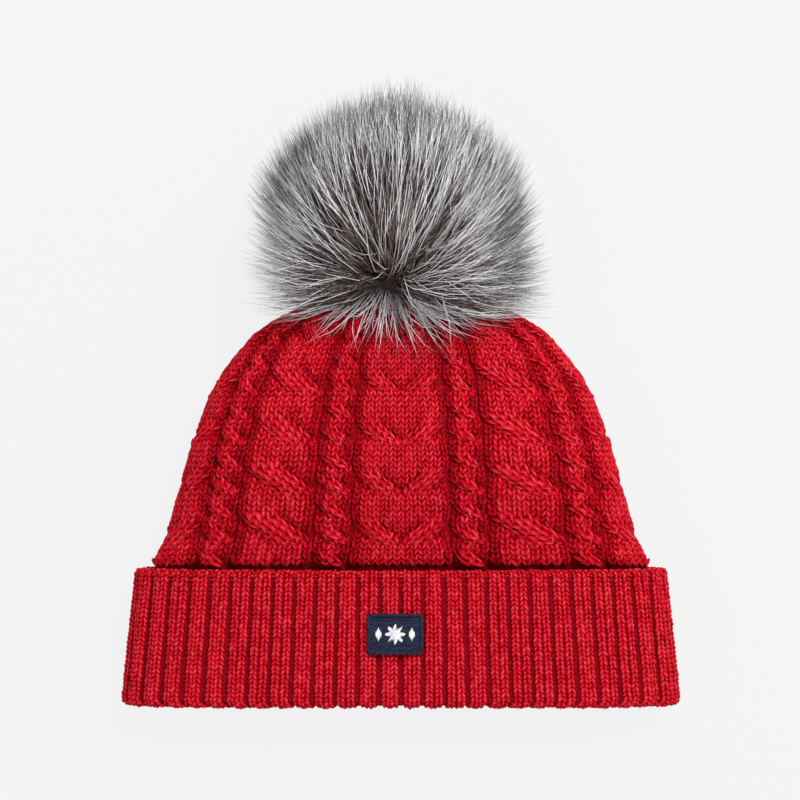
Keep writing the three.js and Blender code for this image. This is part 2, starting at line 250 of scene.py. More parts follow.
def flat_section(half_width, seam, rise, drop, shares):
    """Points round one section of the flattened hat, at shares of its length.

    Share 0 is the middle of the front, and the way goes by +X to the back.
    """
    turn = np.linspace(0, 2 * math.pi, 721)
    s, c = np.sin(turn), np.cos(turn)
    front = rise * np.sqrt(1 + s * s)
    back = drop * np.sqrt((1 + s * s) * (1 + s**4))
    x, z = half_width * s, seam + c * np.where(c > 0, front, back)
    length = np.concatenate([[0], np.cumsum(np.hypot(np.diff(x), np.diff(z)))])
    places = np.asarray(shares) % 1 * length[-1]
    return np.interp(places, length, x), np.interp(places, length, z)


class Skin:
    """A tube of points in rows along the hat and columns round it, and what lies between them."""

    columns = 720

    def __init__(self, rows):
        shares = np.arange(self.columns) / self.columns
        points = []
        for along, half_width, seam, rise, drop in rows:
            x, z = flat_section(half_width, seam, rise, drop, shares)
            points.append(np.stack([x, np.full_like(x, FOLD_Y + along), z], -1))
        self.points = np.array(points)
        along = np.gradient(self.points, axis=0)
        around = np.roll(self.points, -1, 1) - np.roll(self.points, 1, 1)
        self.normals = unit(np.cross(around, along))
        self.girth = np.linalg.norm(around, axis=-1).sum(1) / 2

    def at(self, row, share):
        """Points and outward normals at these rows, whole or not, and shares of the way round."""
        row, share = np.broadcast_arrays(row, share)
        low = np.clip(np.floor(row).astype(int), 0, len(self.points) - 2)
        column = share % 1 * self.columns
        left = np.floor(column).astype(int) % self.columns
        right = (left + 1) % self.columns
        up, over = (row - low)[..., None], (column - np.floor(column))[..., None]

        def between(grid):
            below = grid[low, left] * (1 - over) + grid[low, right] * over
            above = grid[low + 1, left] * (1 - over) + grid[low + 1, right] * over
            return below * (1 - up) + above * up

        return between(self.points), unit(between(self.normals))


def cuff_section(along, inset):
    """The row of numbers that flat_section takes, for the cuff taken in by inset all round."""
    width = CUFF_WIDTH_AT_FOLD + (CUFF_WIDTH_AT_EDGE - CUFF_WIDTH_AT_FOLD) * along / CUFF_HEIGHT
    seam = CUFF_DEPTH * SEAM_SHARE
    return along, width / 2 - inset, seam, CUFF_DEPTH - seam - inset, seam - inset


def arc(centre_along, centre_inset, radius, start, end, count):
    """Places (along, inset) on an arc, its angles in degrees from straight up, by the outside."""
    turn = np.radians(np.linspace(start, end, count))
    return [(centre_along + radius * math.cos(a), centre_inset - radius * math.sin(a)) for a in turn]


def resampled(path, step):
    """A path of (along, inset) places again, in even steps, with the length at each place."""
    path = np.array(path, float)
    length = np.concatenate([[0], np.cumsum(np.hypot(*np.diff(path, axis=0).T))])
    places = np.linspace(0, length[-1], round(length[-1] / step) + 1)
    return np.stack([np.interp(places, length, side) for side in path.T], -1)


def crown_table():
    """Rows of reach, along, half width, top and bottom, from inside the cuff to the gather."""
    rows = []
    for along, extra in ((CUFF_INNER_HEIGHT - CROWN_OVERLAP, 0), (CUFF_HEIGHT, CROWN_RISE)):
        section = cuff_section(along, OUTER_LAYER_BACK + CROWN_SLACK + extra)
        _, half_width, seam, rise, drop = section
        rows.append([along, half_width, seam + rise, seam - drop])
    for reach, width, top, bottom in CROWN_SECTIONS:
        along = CUFF_HEIGHT + reach * CROWN_HEIGHT
        rows.append([along, width * CROWN_WIDTH / 2, top * CROWN_DEPTH, bottom * CROWN_DEPTH])
    rows = np.array(rows)
    steps = np.hypot(np.diff(rows[:, 0]), NARROWING_SHARE * np.diff(rows[:, 1]))
    reaches = np.concatenate([[0], np.cumsum(steps)])
    return np.column_stack([reaches, rows])


CROWN_TABLE = crown_table()
CROWN_REACH = CROWN_TABLE[-1, 0]


def crown_rows(reaches, outwards=0):
    """The rows of numbers that Skin takes, at these reaches, moved outwards by some millimetres."""
    along, half_width, top, bottom = interpolated(CROWN_TABLE, np.asarray(reaches, float)).T
    bottom = np.maximum(bottom, 0)
    seam = bottom + (top - bottom) * SEAM_SHARE
    out = np.broadcast_to(outwards, along.shape)
    return np.stack([along, half_width + out, seam, top - seam + out, seam - bottom + out], -1)


def relief_at(reach, along):
    """How deep the purl grooves are: nothing inside the cuff, and shallow at the gather."""
    start = np.clip((along - CUFF_INNER_HEIGHT) / (CUFF_HEIGHT - CUFF_INNER_HEIGHT), 0, 1)
    end = np.clip((reach / CROWN_REACH - GATHER_START) / (1 - GATHER_START), 0, 1)
    return CABLE_RELIEF * smooth(start) * (1 - GATHER_SQUEEZE * smooth(end))


def groove_at_cuff(along):
    """How much deeper the crown lies where it comes out of the cuff, in millimetres."""
    start = smooth(np.clip((along - CUFF_INNER_HEIGHT) / GROOVE_FADE_IN, 0, 1))
    end = smooth(np.clip((along - CUFF_HEIGHT) / GROOVE_FADE_OUT, 0, 1))
    return GROOVE_AT_CUFF * start * (1 - end)


def climb_at(along, cable):
    """How many crossings of a cable lie below a place."""
    return (along - CUFF_HEIGHT - FIRST_CROSSING) / CABLE_PERIOD * CABLES[cable].often


def crossings(cable, climb):
    """For each crossing in reach: where its front strand is, how far it has got, its lift, and how
    many millimetres ago it ended."""
    lean, share = CABLES[cable].lean, CABLES[cable].share
    for period in range(math.floor(np.min(climb)), math.floor(np.max(climb)) + 1):
        done = np.clip((climb - period) / share, 0, 1)
        centre = lean * ((1 - CROSSING_EASE) * done + CROSSING_EASE * smooth(done) - 0.5)
        since = np.maximum(0, climb - period - share) * CABLE_PERIOD / CABLES[cable].often
        yield centre, done, np.sin(math.pi * done), since


def swell_at(cable, climb):
    """How far a cable's edges stand out, in wales: it is drawn in where its strands cross."""
    share = CABLES[cable].share
    return -SWELL * np.cos(2 * math.pi * (climb - share / 2))


def resting_height(cable, across):
    """The height of a cable between its crossings: level, and rounded off at the purl gaps."""
    wales = CABLES[cable].wales

    def rounding(edge):
        return 1 - EDGE_DROP * (1 - np.clip(edge * wales / EDGE_ROUND, 0, 1)) ** 2

    left = 1 if cable.startswith("horseshoe") else rounding(across + 1)
    return CABLE_LEVEL * left * rounding(1 - across)


def field_of(cable, across, climb):
    """The knit that a cable's front strand crosses over: its height, its shift and what shows."""
    wales = CABLES[cable].wales
    height = resting_height(cable, across) + 0 * climb
    shift, shown = np.zeros_like(height), np.ones(height.shape, bool)
    for centre, done, lift, since in crossings(cable, climb):
        gap = np.abs(across - centre) - 0.5
        shown &= ~((gap < -SEEN_UNDER / wales) & (done > 0) & (done < 1))
        near = np.exp(-np.maximum(gap, 0) * wales / SINK_WIDTH)
        active = np.clip(5 * done, 0, 1) * np.exp(-since / RISE_AGAIN) * (gap > -0.1)
        sink = SINK_AT_ONCE + (1 - SINK_AT_ONCE) * lift
        height = height - STRAND_SINK * near * active * sink
        shift = shift + PUSHED_ASIDE / wales * near * active * np.sign(centre - across)
    if cable.startswith("horseshoe"):
        shift = shift * np.clip((across + 1) * wales - 0.5, 0, 1)
    return np.maximum(height, 0.05), shift, shown


def strand_height(cable, across, centre, lift):
    """The height of the front strand on its way over."""
    offset = (across - centre) / 0.5
    return resting_height(cable, across) + STRAND_LIFT * lift * (1 - STRAND_ROUND * offset**2)


def cable_height(cable, across, climb):
    """The height of a whole cable, from 0 in a groove to 1 on a crest."""
    height, _, shown = field_of(cable, across, climb)
    for centre, done, lift, _ in crossings(cable, climb):
        over = (np.abs(across - centre) < 0.5) & (done > 0) & (done < 1)
        height = np.where(over, strand_height(cable, across, centre, lift), height)
    return height


def chart_columns():
    """Every column round the crown: its kind, its start and width as shares, and its stitches."""
    for repeat in range(CABLE_REPEATS):
        done = 0
        for kind, stitches, left, right in CABLE_CHART:
            start = repeat + (done - left) / CHART_STITCHES
            width = (stitches + left + right) / CHART_STITCHES
            yield kind, start / CABLE_REPEATS, width / CABLE_REPEATS, stitches + left + right
            done += stitches


# Meshes and objects


def add(tree, kind, inputs=None, **settings):
    """Adds a node with its settings; each input is a value, or the socket that it is linked from."""
    node = tree.nodes.new(kind)
    for name, value in settings.items():
        setattr(node, name, value)
    for key, value in (inputs or {}).items():
        if isinstance(value, bpy.types.NodeSocket):
            tree.links.new(value, node.inputs[key])
        else:
            node.inputs[key].default_value = value
    return node


def number(tree, operation, *values):
    """Adds a node that works on numbers, and gives its result."""
    inputs = dict(enumerate(values))
    return add(tree, "ShaderNodeMath", inputs, operation=operation).outputs[0]


def vector(tree, operation, *values, scale=None):
    """Adds a node that works on vectors, and gives its result."""
    inputs = dict(enumerate(values)) | ({} if scale is None else {"Scale": scale})
    return add(tree, "ShaderNodeVectorMath", inputs, operation=operation).outputs[0]


def show(name, mesh):
    piece = bpy.data.objects.new(name, mesh)
    bpy.context.scene.collection.objects.link(piece)
    return piece


def ring_mesh(name, rings, closed=False):
    """A mesh of rings of points in millimetres; a ring of one repeated point is a pole."""
    rings = np.asarray(rings, float)
    rows, columns, _ = rings.shape
    mesh = bpy.data.meshes.new(name)
    index = np.arange(rows * columns).reshape(rows, columns)
    upper = np.roll(index, -1, 0) if closed else index[1:]
    lower = index if closed else index[:-1]
    over = np.roll(lower, -1, 1)
    faces = np.stack([lower, over, np.roll(upper, -1, 1), upper], -1).reshape(-1, 4)
    mesh.from_pydata(rings.reshape(-1, 3) * MM, [], faces.tolist())
    piece = show(name, mesh)
    form = bmesh.new()
    form.from_mesh(mesh)
    bmesh.ops.remove_doubles(form, verts=form.verts, dist=1e-6)
    for face in form.faces:
        face.smooth = True
    form.to_mesh(mesh)
    form.free()
    return piece


def dressed(piece, slot, material, *nodes):
    """Gives a finished piece its material and its body, and hides the solids it stands for.

    What would dip below the table is pressed flat on it. The slot is not used.
    """
    mesh = piece.data
    if material is not None:
        mesh.materials.clear()
        mesh.materials.append(material)
    places = np.empty(3 * len(mesh.vertices), np.float32)
    mesh.vertices.foreach_get("co", places)
    places[2::3] = np.maximum(places[2::3], 0)
    mesh.vertices.foreach_set("co", places)
    mesh.update()
    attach(piece, "root")
    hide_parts(*nodes)
    return piece


def points_mesh(name, places, **attributes):
    """Loose points in millimetres that carry numbers or vectors for a tree to read."""
    mesh = bpy.data.meshes.new(name)
    mesh.vertices.add(len(places))
    mesh.vertices.foreach_set("co", (places * MM).astype(np.float32).ravel())
    for key, values in attributes.items():
        kind, field = ("FLOAT_VECTOR", "vector") if values.ndim == 2 else ("FLOAT", "value")
        made = mesh.attributes.new(key, kind, "POINT")
        made.data.foreach_set(field, values.astype(np.float32).ravel())
    return mesh


def grown(name, points, tree, **inputs):
    """The plain mesh that a Geometry Nodes tree makes of these points."""
    source = show(name + "_points", points)
    modifier = source.modifiers.new("Grow", "NODES")
    modifier.node_group = tree
    for item in tree.interface.items_tree:
        if item.name in inputs:
            modifier[item.identifier] = inputs[item.name]
    graph = bpy.context.evaluated_depsgraph_get()
    mesh = bpy.data.meshes.new_from_object(source.evaluated_get(graph), depsgraph=graph)
    source.modifiers.remove(modifier)
    bpy.data.objects.remove(source)
    mesh.name = name
    return show(name, mesh)


# Geometry Nodes trees


def new_tree(name, sockets):
    """A Geometry Nodes tree with a geometry in and out, and these named inputs."""
    tree = bpy.data.node_groups.new(name, "GeometryNodeTree")
    interface = tree.interface
    interface.new_socket("Geometry", in_out="INPUT", socket_type="NodeSocketGeometry")
    for label, kind, default in sockets:
        socket = interface.new_socket(label, in_out="INPUT", socket_type="NodeSocket" + kind)
        if default is not None:
            socket.default_value = default
    interface.new_socket("Geometry", in_out="OUTPUT", socket_type="NodeSocketGeometry")
    return tree, add(tree, "NodeGroupInput").outputs


def named(tree, name, kind="FLOAT_VECTOR"):
    return add(tree, "GeometryNodeInputNamedAttribute", {"Name": name}, data_type=kind).outputs[0]


def end_tree(tree, geometry, material):
    """Smooth shading, the material and the output, which every tree ends in."""
    soft = add(tree, "GeometryNodeSetShadeSmooth", {"Geometry": geometry})
    painted = {"Geometry": soft.outputs[0], "Material": material}
    last = add(tree, "GeometryNodeSetMaterial", painted)
    add(tree, "NodeGroupOutput", {"Geometry": last.outputs[0]})


def with_tone(tree, points, seed):
    """Stores a random tone from 0 to 1 on each point, by which yarn and hair differ."""
    chance = add(tree, "FunctionNodeRandomValue", {"Seed": seed}, data_type="FLOAT")
    values = {"Geometry": points, "Name": "tone", "Value": chance.outputs[1]}
    store = add(tree, "GeometryNodeStoreNamedAttribute", values, data_type="FLOAT", domain="POINT")
    return store.outputs[0]


def stitch_tree():
    """One rounded length of yarn at each point, along its direction and facing outwards."""
    tree, given = new_tree(
        "Stitches",
        (
            ("Sides", "Int", 4),
            ("Rings", "Int", 4),
            ("Thickness", "Float", 1.0),
            ("Length", "Float", 1.0),
            ("Seed", "Int", 1),
            ("Material", "Material", None),
        ),
    )
    round_form = {"Segments": given["Sides"], "Rings": given["Rings"], "Radius": 1.0}
    yarn = add(tree, "GeometryNodeMeshUVSphere", round_form).outputs[0]
    place = add(tree, "GeometryNodeInputPosition").outputs[0]
    kept = {"Geometry": yarn, "Name": "yarn_place", "Value": place}
    yarn = add(tree, "GeometryNodeStoreNamedAttribute", kept, data_type="FLOAT_VECTOR")
    axes = {"Primary Axis": named(tree, "direction"), "Secondary Axis": named(tree, "facing")}
    rotation = add(
        tree, "FunctionNodeAxesToRotation", axes, primary_axis="Z", secondary_axis="X"
    )
    girth = {"X": given["Thickness"], "Y": given["Thickness"], "Z": given["Length"]}
    scale = add(tree, "ShaderNodeCombineXYZ", girth).outputs[0]
    scale = vector(tree, "MULTIPLY", named(tree, "size"), scale)
    placed = {
        "Points": with_tone(tree, given["Geometry"], given["Seed"]),
        "Instance": yarn.outputs[0],
        "Rotation": rotation.outputs[0],
        "Scale": scale,
    }
    instances = add(tree, "GeometryNodeInstanceOnPoints", placed).outputs[0]
    real = add(tree, "GeometryNodeRealizeInstances", {"Geometry": instances}).outputs[0]
    end_tree(tree, real, given["Material"])
    return tree


def hair_tree():
    """One tapering hair at each point, bent along a curve towards its tip, above the floor."""
    tree, given = new_tree(
        "Hairs",
        (
            ("Joints", "Int", 3),
            ("Thickness", "Float", 0.0004),
            ("Fullness", "Float", 2.5),
            ("Floor Height", "Float", 0.0004),
            ("Seed", "Int", 1),
            ("Material", "Material", None),
        ),
    )
    cone = {
        "Vertices": 3,
        "Side Segments": given["Joints"],
        "Radius Top": 0.0,
        "Radius Bottom": 1.0,
        "Depth": 1.0,
    }
    hair = add(tree, "GeometryNodeMeshCone", cone, fill_type="NONE").outputs[0]
    place = add(tree, "GeometryNodeInputPosition").outputs[0]
    kept = {"Geometry": hair, "Name": "hair_place", "Value": place}
    hair = add(tree, "GeometryNodeStoreNamedAttribute", kept, data_type="FLOAT_VECTOR")
    rooted = with_tone(tree, given["Geometry"], given["Seed"])
    placed = {"Points": rooted, "Instance": hair.outputs[0]}
    instances = add(tree, "GeometryNodeInstanceOnPoints", placed).outputs[0]
    real = add(tree, "GeometryNodeRealizeInstances", {"Geometry": instances}).outputs[0]

    parts = add(tree, "ShaderNodeSeparateXYZ", {0: named(tree, "hair_place")}).outputs
    along = parts["Z"]
    left = number(tree, "SUBTRACT", 1.0, along)
    bend_share = number(tree, "MULTIPLY", number(tree, "MULTIPLY", along, left), 2.0)
    bend = vector(tree, "SCALE", named(tree, "bend"), scale=bend_share)
    tip_share = number(tree, "MULTIPLY", along, along)
    tip = vector(tree, "SCALE", named(tree, "reach"), scale=tip_share)
    spine = vector(tree, "ADD", bend, tip)
    side = named(tree, "side")
    across = vector(tree, "CROSS_PRODUCT", named(tree, "reach"), side)
    over = vector(tree, "NORMALIZE", across)
    full = number(tree, "ADD", number(tree, "MULTIPLY", along, given["Fullness"]), 1.0)
    girth = number(tree, "MULTIPLY", named(tree, "girth", "FLOAT"), given["Thickness"])
    girth = number(tree, "MULTIPLY", girth, full)
    wide = vector(tree, "SCALE", side, scale=number(tree, "MULTIPLY", parts["X"], girth))
    high = vector(tree, "SCALE", over, scale=number(tree, "MULTIPLY", parts["Y"], girth))
    thick = vector(tree, "ADD", wide, high)
    root = named(tree, "root")
    point = vector(tree, "ADD", vector(tree, "ADD", root, spine), thick)
    where = add(tree, "ShaderNodeSeparateXYZ", {0: point}).outputs
    height = number(tree, "MAXIMUM", where["Z"], given["Floor Height"])
    lifted = add(
        tree, "ShaderNodeCombineXYZ", {"X": where["X"], "Y": where["Y"], "Z": height}
    ).outputs[0]
    bent = add(tree, "GeometryNodeSetPosition", {"Geometry": real, "Position": lifted}).outputs[0]
    end_tree(tree, bent, given["Material"])
    return tree


# Materials


def new_material(name, **sockets):
    """A material and its node tree, with these values set on the shader itself."""
    material = bpy.data.materials.new(name)
    material.use_nodes = True
    shader = material.node_tree.nodes["Principled BSDF"]
    for label, value in sockets.items():
        shader.inputs[label.replace("_", " ")].default_value = value
    return material, material.node_tree, shader


def attribute(tree, name, output="Fac"):
    return add(tree, "ShaderNodeAttribute", attribute_name=name).outputs[output]


def blended(tree, share, first, second, **settings):
    """Adds a node that mixes two colours, and gives its result."""
    colours = {0: share, 6: first, 7: second}
    return add(tree, "ShaderNodeMix", colours, data_type="RGBA", **settings).outputs[2]


def ramp(tree, factor, stops):
    """A colour ramp through stops of a place and a linear colour."""
    node = add(tree, "ShaderNodeValToRGB", {"Fac": factor})
    elements = node.color_ramp.elements
    while len(elements) < len(stops):
        elements.new(0.5)
    for element, (place, colour) in zip(elements, stops):
        element.position = place
        element.color = (*colour, 1)
    return node.outputs["Color"]


def rough_bump(tree, shader, grain, strength, distance):
    """A fine bump on the piece's own coordinates, its grain and depth in millimetres.

    Gives back the noise that it is made of.
    """
    place = add(tree, "ShaderNodeTexCoord").outputs["Object"]
    scale = {"Vector": place, "Scale": 1 / (grain * MM), "Detail": 2.0, "Roughness": 0.6}
    noise = add(tree, "ShaderNodeTexNoise", scale).outputs["Fac"]
    bump = {"Height": noise, "Strength": strength, "Distance": distance * MM}
    tree.links.new(add(tree, "ShaderNodeBump", bump).outputs[0], shader.inputs["Normal"])
    return noise


def worsted_wool(name, shade, body, light):
    """Plied worsted wool, dyed in the yarn: matt, each stitch a little lighter or darker, with
    painted shade where it dips between its neighbours and a painted highlight on its crest."""
    material, tree, shader = new_material(
        name, Roughness=0.85, Sheen_Weight=0.03, Sheen_Roughness=0.4, Specular_IOR_Level=0.08
    )
    shader.inputs["Sheen Tint"].default_value = (*light, 1)
    grain = rough_bump(tree, shader, grain=0.4, strength=0.5, distance=0.2)
    yarn = attribute(tree, "yarn_place", "Vector")
    place = add(tree, "ShaderNodeSeparateXYZ", {0: yarn}).outputs
    # Painted highlight: the outward side of each stitch is lighter, less so towards its ends.
    ends = number(tree, "MULTIPLY", place["Z"], place["Z"])
    crest = number(tree, "POWER", number(tree, "MAXIMUM", place["X"], 0.0), 2.5)
    crest = number(tree, "MULTIPLY", crest, number(tree, "MULTIPLY_ADD", ends, -0.8, 1.0))
    tone, sunk = attribute(tree, "tone"), attribute(tree, "sunk")
    # What makes the yarn lighter or darker, and how much each counts: the painted highlight on
    # the crest, the random tone, the grain and the painted shade where the stitch is sunk.
    value = 0.04
    for source, weight in ((crest, 0.5), (tone, 0.2), (grain, 0.55), (sunk, -0.42)):
        value = number(tree, "MULTIPLY_ADD", source, weight, value)
    # The lowest stop is the painted shade colour, the top ones the painted highlight colour.
    stops = ((0.1, shade), (0.48, body), (0.75, mixed(body, light, 0.35)), (1.0, light))
    tree.links.new(ramp(tree, value, stops), shader.inputs["Base Color"])
    return material


# Darker than the wool itself: painted shade for the yarn seen in the gaps between stitches.
WOOL_BEHIND_PAINTED_SHADE = linear("#6A0008"), linear("#A00014")


def knit_behind(name, dark, body):
    """What lies behind stitches, hairs or threads: matt, in two colours by its grain. Behind the
    knit they are darker than the yarn, a painted shade for the gaps between stitches.
    """
    material, tree, shader = new_material(name, Roughness=0.95, Specular_IOR_Level=0.1)
    grain = rough_bump(tree, shader, grain=0.9, strength=0.8, distance=0.6)
    tree.links.new(ramp(tree, grain, ((0.35, dark), (0.75, body))), shader.inputs["Base Color"])
    return material


# How far along a hair its colours start earlier or later than on others, as a share of its
# length, and how much later hairs turn pale round the parting.
COLOUR_DRIFT = 0.24
COLOUR_DELAY = 0.38


def fox_fur(name, stops_light, stops_dark):
    """Long fur, dark at the root, silver along its length and black or white at the tip: each
    hair is glossy along its round and takes one of two colourings."""
    material, tree, shader = new_material(
        name, Roughness=0.38, Specular_IOR_Level=0.5, Sheen_Weight=0.03
    )
    hair = attribute(tree, "hair_place", "Vector")
    along = add(tree, "ShaderNodeSeparateXYZ", {0: hair}).outputs["Z"]
    tone = attribute(tree, "tone")
    smoky = number(tree, "LESS_THAN", tone, attribute(tree, "smoke"))
    # Seven times the tone, without its whole part, does for a second random number.
    drift = number(tree, "FRACT", number(tree, "MULTIPLY", tone, 7.0))
    along = number(tree, "MULTIPLY_ADD", drift, COLOUR_DRIFT, along)
    turning = attribute(tree, "turning")
    along = number(tree, "MULTIPLY_ADD", turning, -COLOUR_DELAY, along)
    along = number(tree, "SUBTRACT", along, COLOUR_DRIFT / 2)
    light_hair, dark_hair = ramp(tree, along, stops_light), ramp(tree, along, stops_dark)
    colour = blended(tree, smoky, light_hair, dark_hair)
    greys = ((0.0, [0, 0, 0]), (0.9, [1, 1, 1]))
    light = ramp(tree, attribute(tree, "light"), greys)
    colour = blended(tree, 1.0, colour, light, blend_type="MULTIPLY")
    tree.links.new(colour, shader.inputs["Base Color"])
    return material


def embroidery_thread(name, dark, body, light):
    """Mercerised embroidery thread: smooth, tightly laid, with a soft gleam along each thread."""
    material, tree, shader = new_material(
        name, Roughness=0.5, Specular_IOR_Level=0.25, Sheen_Weight=0.03
    )
    grain = rough_bump(tree, shader, grain=0.18, strength=0.3, distance=0.08)
    tone = number(tree, "MULTIPLY", attribute(tree, "tone"), 0.6)
    value = number(tree, "MULTIPLY_ADD", grain, 0.5, tone)
    stops = ((0.1, dark), (0.5, body), (0.95, light))
    tree.links.new(ramp(tree, value, stops), shader.inputs["Base Color"])
    return material


# Settings


class HatSettings(bpy.types.PropertyGroup):
    """The sizes and colours of the hat that a user would change."""

    wool: FloatVectorProperty(
        name="Wool",
        description="Colour of the knitted yarn",
        subtype="COLOR",
        min=0,
        max=1,
        default=linear("#BC0117"),
    )
    # Colour of the painted highlight on the crest of each stitch.
    wool_painted_highlight: FloatVectorProperty(
        name="Wool, Light",
        description="Colour of the fibre ends on the rounds of the yarn",
        subtype="COLOR",
        min=0,
        max=1,
        default=linear("#F05868"),
    )
    # Colour of the painted shade where stitches lie deep or turn away.
    wool_shade: FloatVectorProperty(
        name="Wool, Shade",
        description="Colour of the darkest yarn",
        subtype="COLOR",
        min=0,
        max=1,
        default=linear("#78000C"),
    )
    fur: FloatVectorProperty(
        name="Fur",
        description="Colour of the fur halfway along its hairs",
        subtype="COLOR",
        min=0,
        max=1,
        default=linear("#F0EBEE"),
    )
    fur_root: FloatVectorProperty(
        name="Fur Root",
        description="Colour of the fur at its roots",
        subtype="COLOR",
        min=0,
        max=1,
        default=linear("#3E3232"),
    )
    row_height: FloatProperty(
        name="Row Height",
        description="Height of one knitted row",
        subtype="DISTANCE",
        unit="LENGTH",
        min=0.0015,
        max=0.004,
        default=0.00205,
    )
    hair_thickness: FloatProperty(
        name="Hair Thickness",
        description="Half of a hair's thickness at its root",
        subtype="DISTANCE",
        unit="LENGTH",
        min=0.0001,
        max=0.002,
        default=0.00018,
    )
    fur_density: FloatProperty(
        name="Fur Density",
        description="Hairs in the pompom as a share of a full coat",
        subtype="FACTOR",
        min=0.1,
        max=1,
        default=1,
    )
    seed: IntProperty(name="Seed", description="Seed of everything random", default=4)


def settings():
    return bpy.context.scene.winter_hat


# Knitting

YARN_RADIUS = 0.8
# How far under the knit's surface the yarn behind it is seen, and how much deeper than the knit
# purl bars lie, on the crown and on the ribs.
BEHIND = 0.95
PURL_SINK = 0.3
RIB_PURL_SINK = 0.25
# Half of a leg's depth and width as shares of a wale, and half its length as a share of a row.
LEG_DEPTH = 0.24
LEG_WIDTH = 0.275
LEG_LENGTH = 0.8
# How far a leg lies from the middle of its wale, in wales, and how much it turns outwards.
LEG_APART = 0.25
LEG_TURN = 0.25
CROWN_LEAN = math.radians(27)
CUFF_LEAN = math.radians(27)
# How much less its legs lean in a strand that crosses over.
STRAIGHTENING = 0.45
# Half of a purl bar's depth and width in millimetres, and half its length as a share of the
# crown's gap or of a whole rib.
CROWN_PURL = (0.6, 0.8, 0.35)
RIB_PURL = (0.7, 0.85, 0.17)
# The steepest turn of a stitch on a cable's flank, and the most on the flank of a rib.
CABLE_TILT = 0.9
RIB_TILT = 0.32
# The two wales of a rib: how far they lie from its middle and how wide they are, as shares.
RIB_WALE = 0.198
RIB_WALE_WIDTH = 0.396
RIB_WANDER = 0.12
# How far stitches go up inside the cuff and down behind its outer layer.
STITCHES_INSIDE = 16
STITCHES_BEHIND = 5
# A row of the crown against a row of the cuff.
CROWN_ROW = 1.22


def sideways(points, normals):
    """The directions across a line of points that lies on the hat."""
    return np.cross(unit(np.gradient(points, axis=0)), normals)


def stitch_legs(points, normals, pitch, lean, sunk, upside_down=False):
    """Two legs for each stitch of a wale, as places, directions, facings, sizes and shades.

    Legs meet at the bottom of each stitch, or at the top. How deep each lies, 0 to 1, is
    kept for the wool's painted shade.
    """
    lean = np.broadcast_to(lean, pitch.shape)[:, None]
    tangent = unit(np.gradient(points, axis=0))
    facing = unit(normals - (normals * tangent).sum(-1, keepdims=True) * tangent)
    side = np.cross(tangent, facing)
    rows = np.linalg.norm(np.gradient(points, axis=0), axis=-1)
    places, directions, facings, sizes, shades = [], [], [], [], []
    slope = -lean if upside_down else lean
    for hand in (-1, 1):
        places.append(points + side * (hand * LEG_APART * pitch)[..., None])
        directions.append(tangent * np.cos(slope) + side * hand * np.sin(slope))
        facings.append(unit(facing + LEG_TURN * hand * side))
        sizes.append(np.stack([pitch * LEG_DEPTH, pitch * LEG_WIDTH, rows * LEG_LENGTH], -1))
        shades.append(np.broadcast_to(sunk, pitch.shape))
    return [np.concatenate(group) for group in (places, directions, facings, sizes, shades)]


def joined(groups):
    return [np.concatenate(parts) for parts in zip(*groups)]


def uneven(stitches, seed, shove=0.09, turn=0.09, swell=0.1):
    """The same stitches with the small differences in place, lean and size that real ones have."""
    random = np.random.default_rng(seed)
    places, directions, facings, sizes, shades = stitches
    places = places + random.normal(0, shove, places.shape)
    directions = unit(directions + random.normal(0, turn, places.shape))
    sizes = sizes * random.normal(1, swell, (len(places), 1))
    return [places, directions, facings, sizes, shades]


def knitted(name, stitches, material, seed, front_rings=4, back_rings=3):
    """The stitches of a knitted piece as two meshes, the front's finer than the back's."""
    places, directions, facings, sizes, shades = uneven(stitches, seed)
    tree = bpy.data.node_groups.get("Stitches") or stitch_tree()
    front = facings[:, 2] > -0.1
    for side, mask, rings in (("front", front, front_rings), ("back", ~front, back_rings)):
        points = points_mesh(
            f"{name}_{side}",
            places[mask],
            direction=directions[mask],
            facing=facings[mask],
            size=sizes[mask] * MM,
            sunk=shades[mask],
        )
        yield grown(f"{name}_{side}", points, tree, Rings=rings, Seed=seed, Material=material)


def cable_legs(skin, rows, relief, groove, pitch, place, height, kept, lean=CROWN_LEAN):
    """The legs of one wale of a cable, on the rows where it is kept.

    Pitch is the width of a wale and the way round the crown; place is where the wale lies across
    its cable and the function that makes this a share of the way round; and height is the
    function that gives the knit's height there.
    """
    across, share = place
    points, normals = skin.at(rows, share(across))
    side = sideways(points, normals)
    reach = 0.02
    rise = (height(across + reach) - height(across - reach)) * relief
    run = np.abs(share(across + reach) - share(across - reach)) * pitch[1]
    turn = np.sign(share(across + reach) - share(across - reach))
    tilt = np.clip(-np.arctan2(rise, run) * turn, -CABLE_TILT, CABLE_TILT)[:, None]
    facing = normals * np.cos(tilt) + side * np.sin(tilt)
    level = height(across)
    depth = relief * (1 - level) + YARN_RADIUS + groove
    # Painted shade: darker the lower a stitch lies on its cable and in the groove at the cuff.
    sunk = np.clip(1 - level / CABLE_LEVEL, 0, 1) + groove / GROOVE_AT_CUFF
    legs = stitch_legs(points - normals * depth[:, None], facing, pitch[0], lean, sunk)
    return [part[np.tile(kept, 2)] for part in legs]


def purl_bar(gap, half_sizes):
    """The sizes of the bars of yarn that lie across purl gaps of these widths."""
    depth, width, length = half_sizes
    return np.stack([np.full_like(gap, depth), np.full_like(gap, width), gap * length], -1)


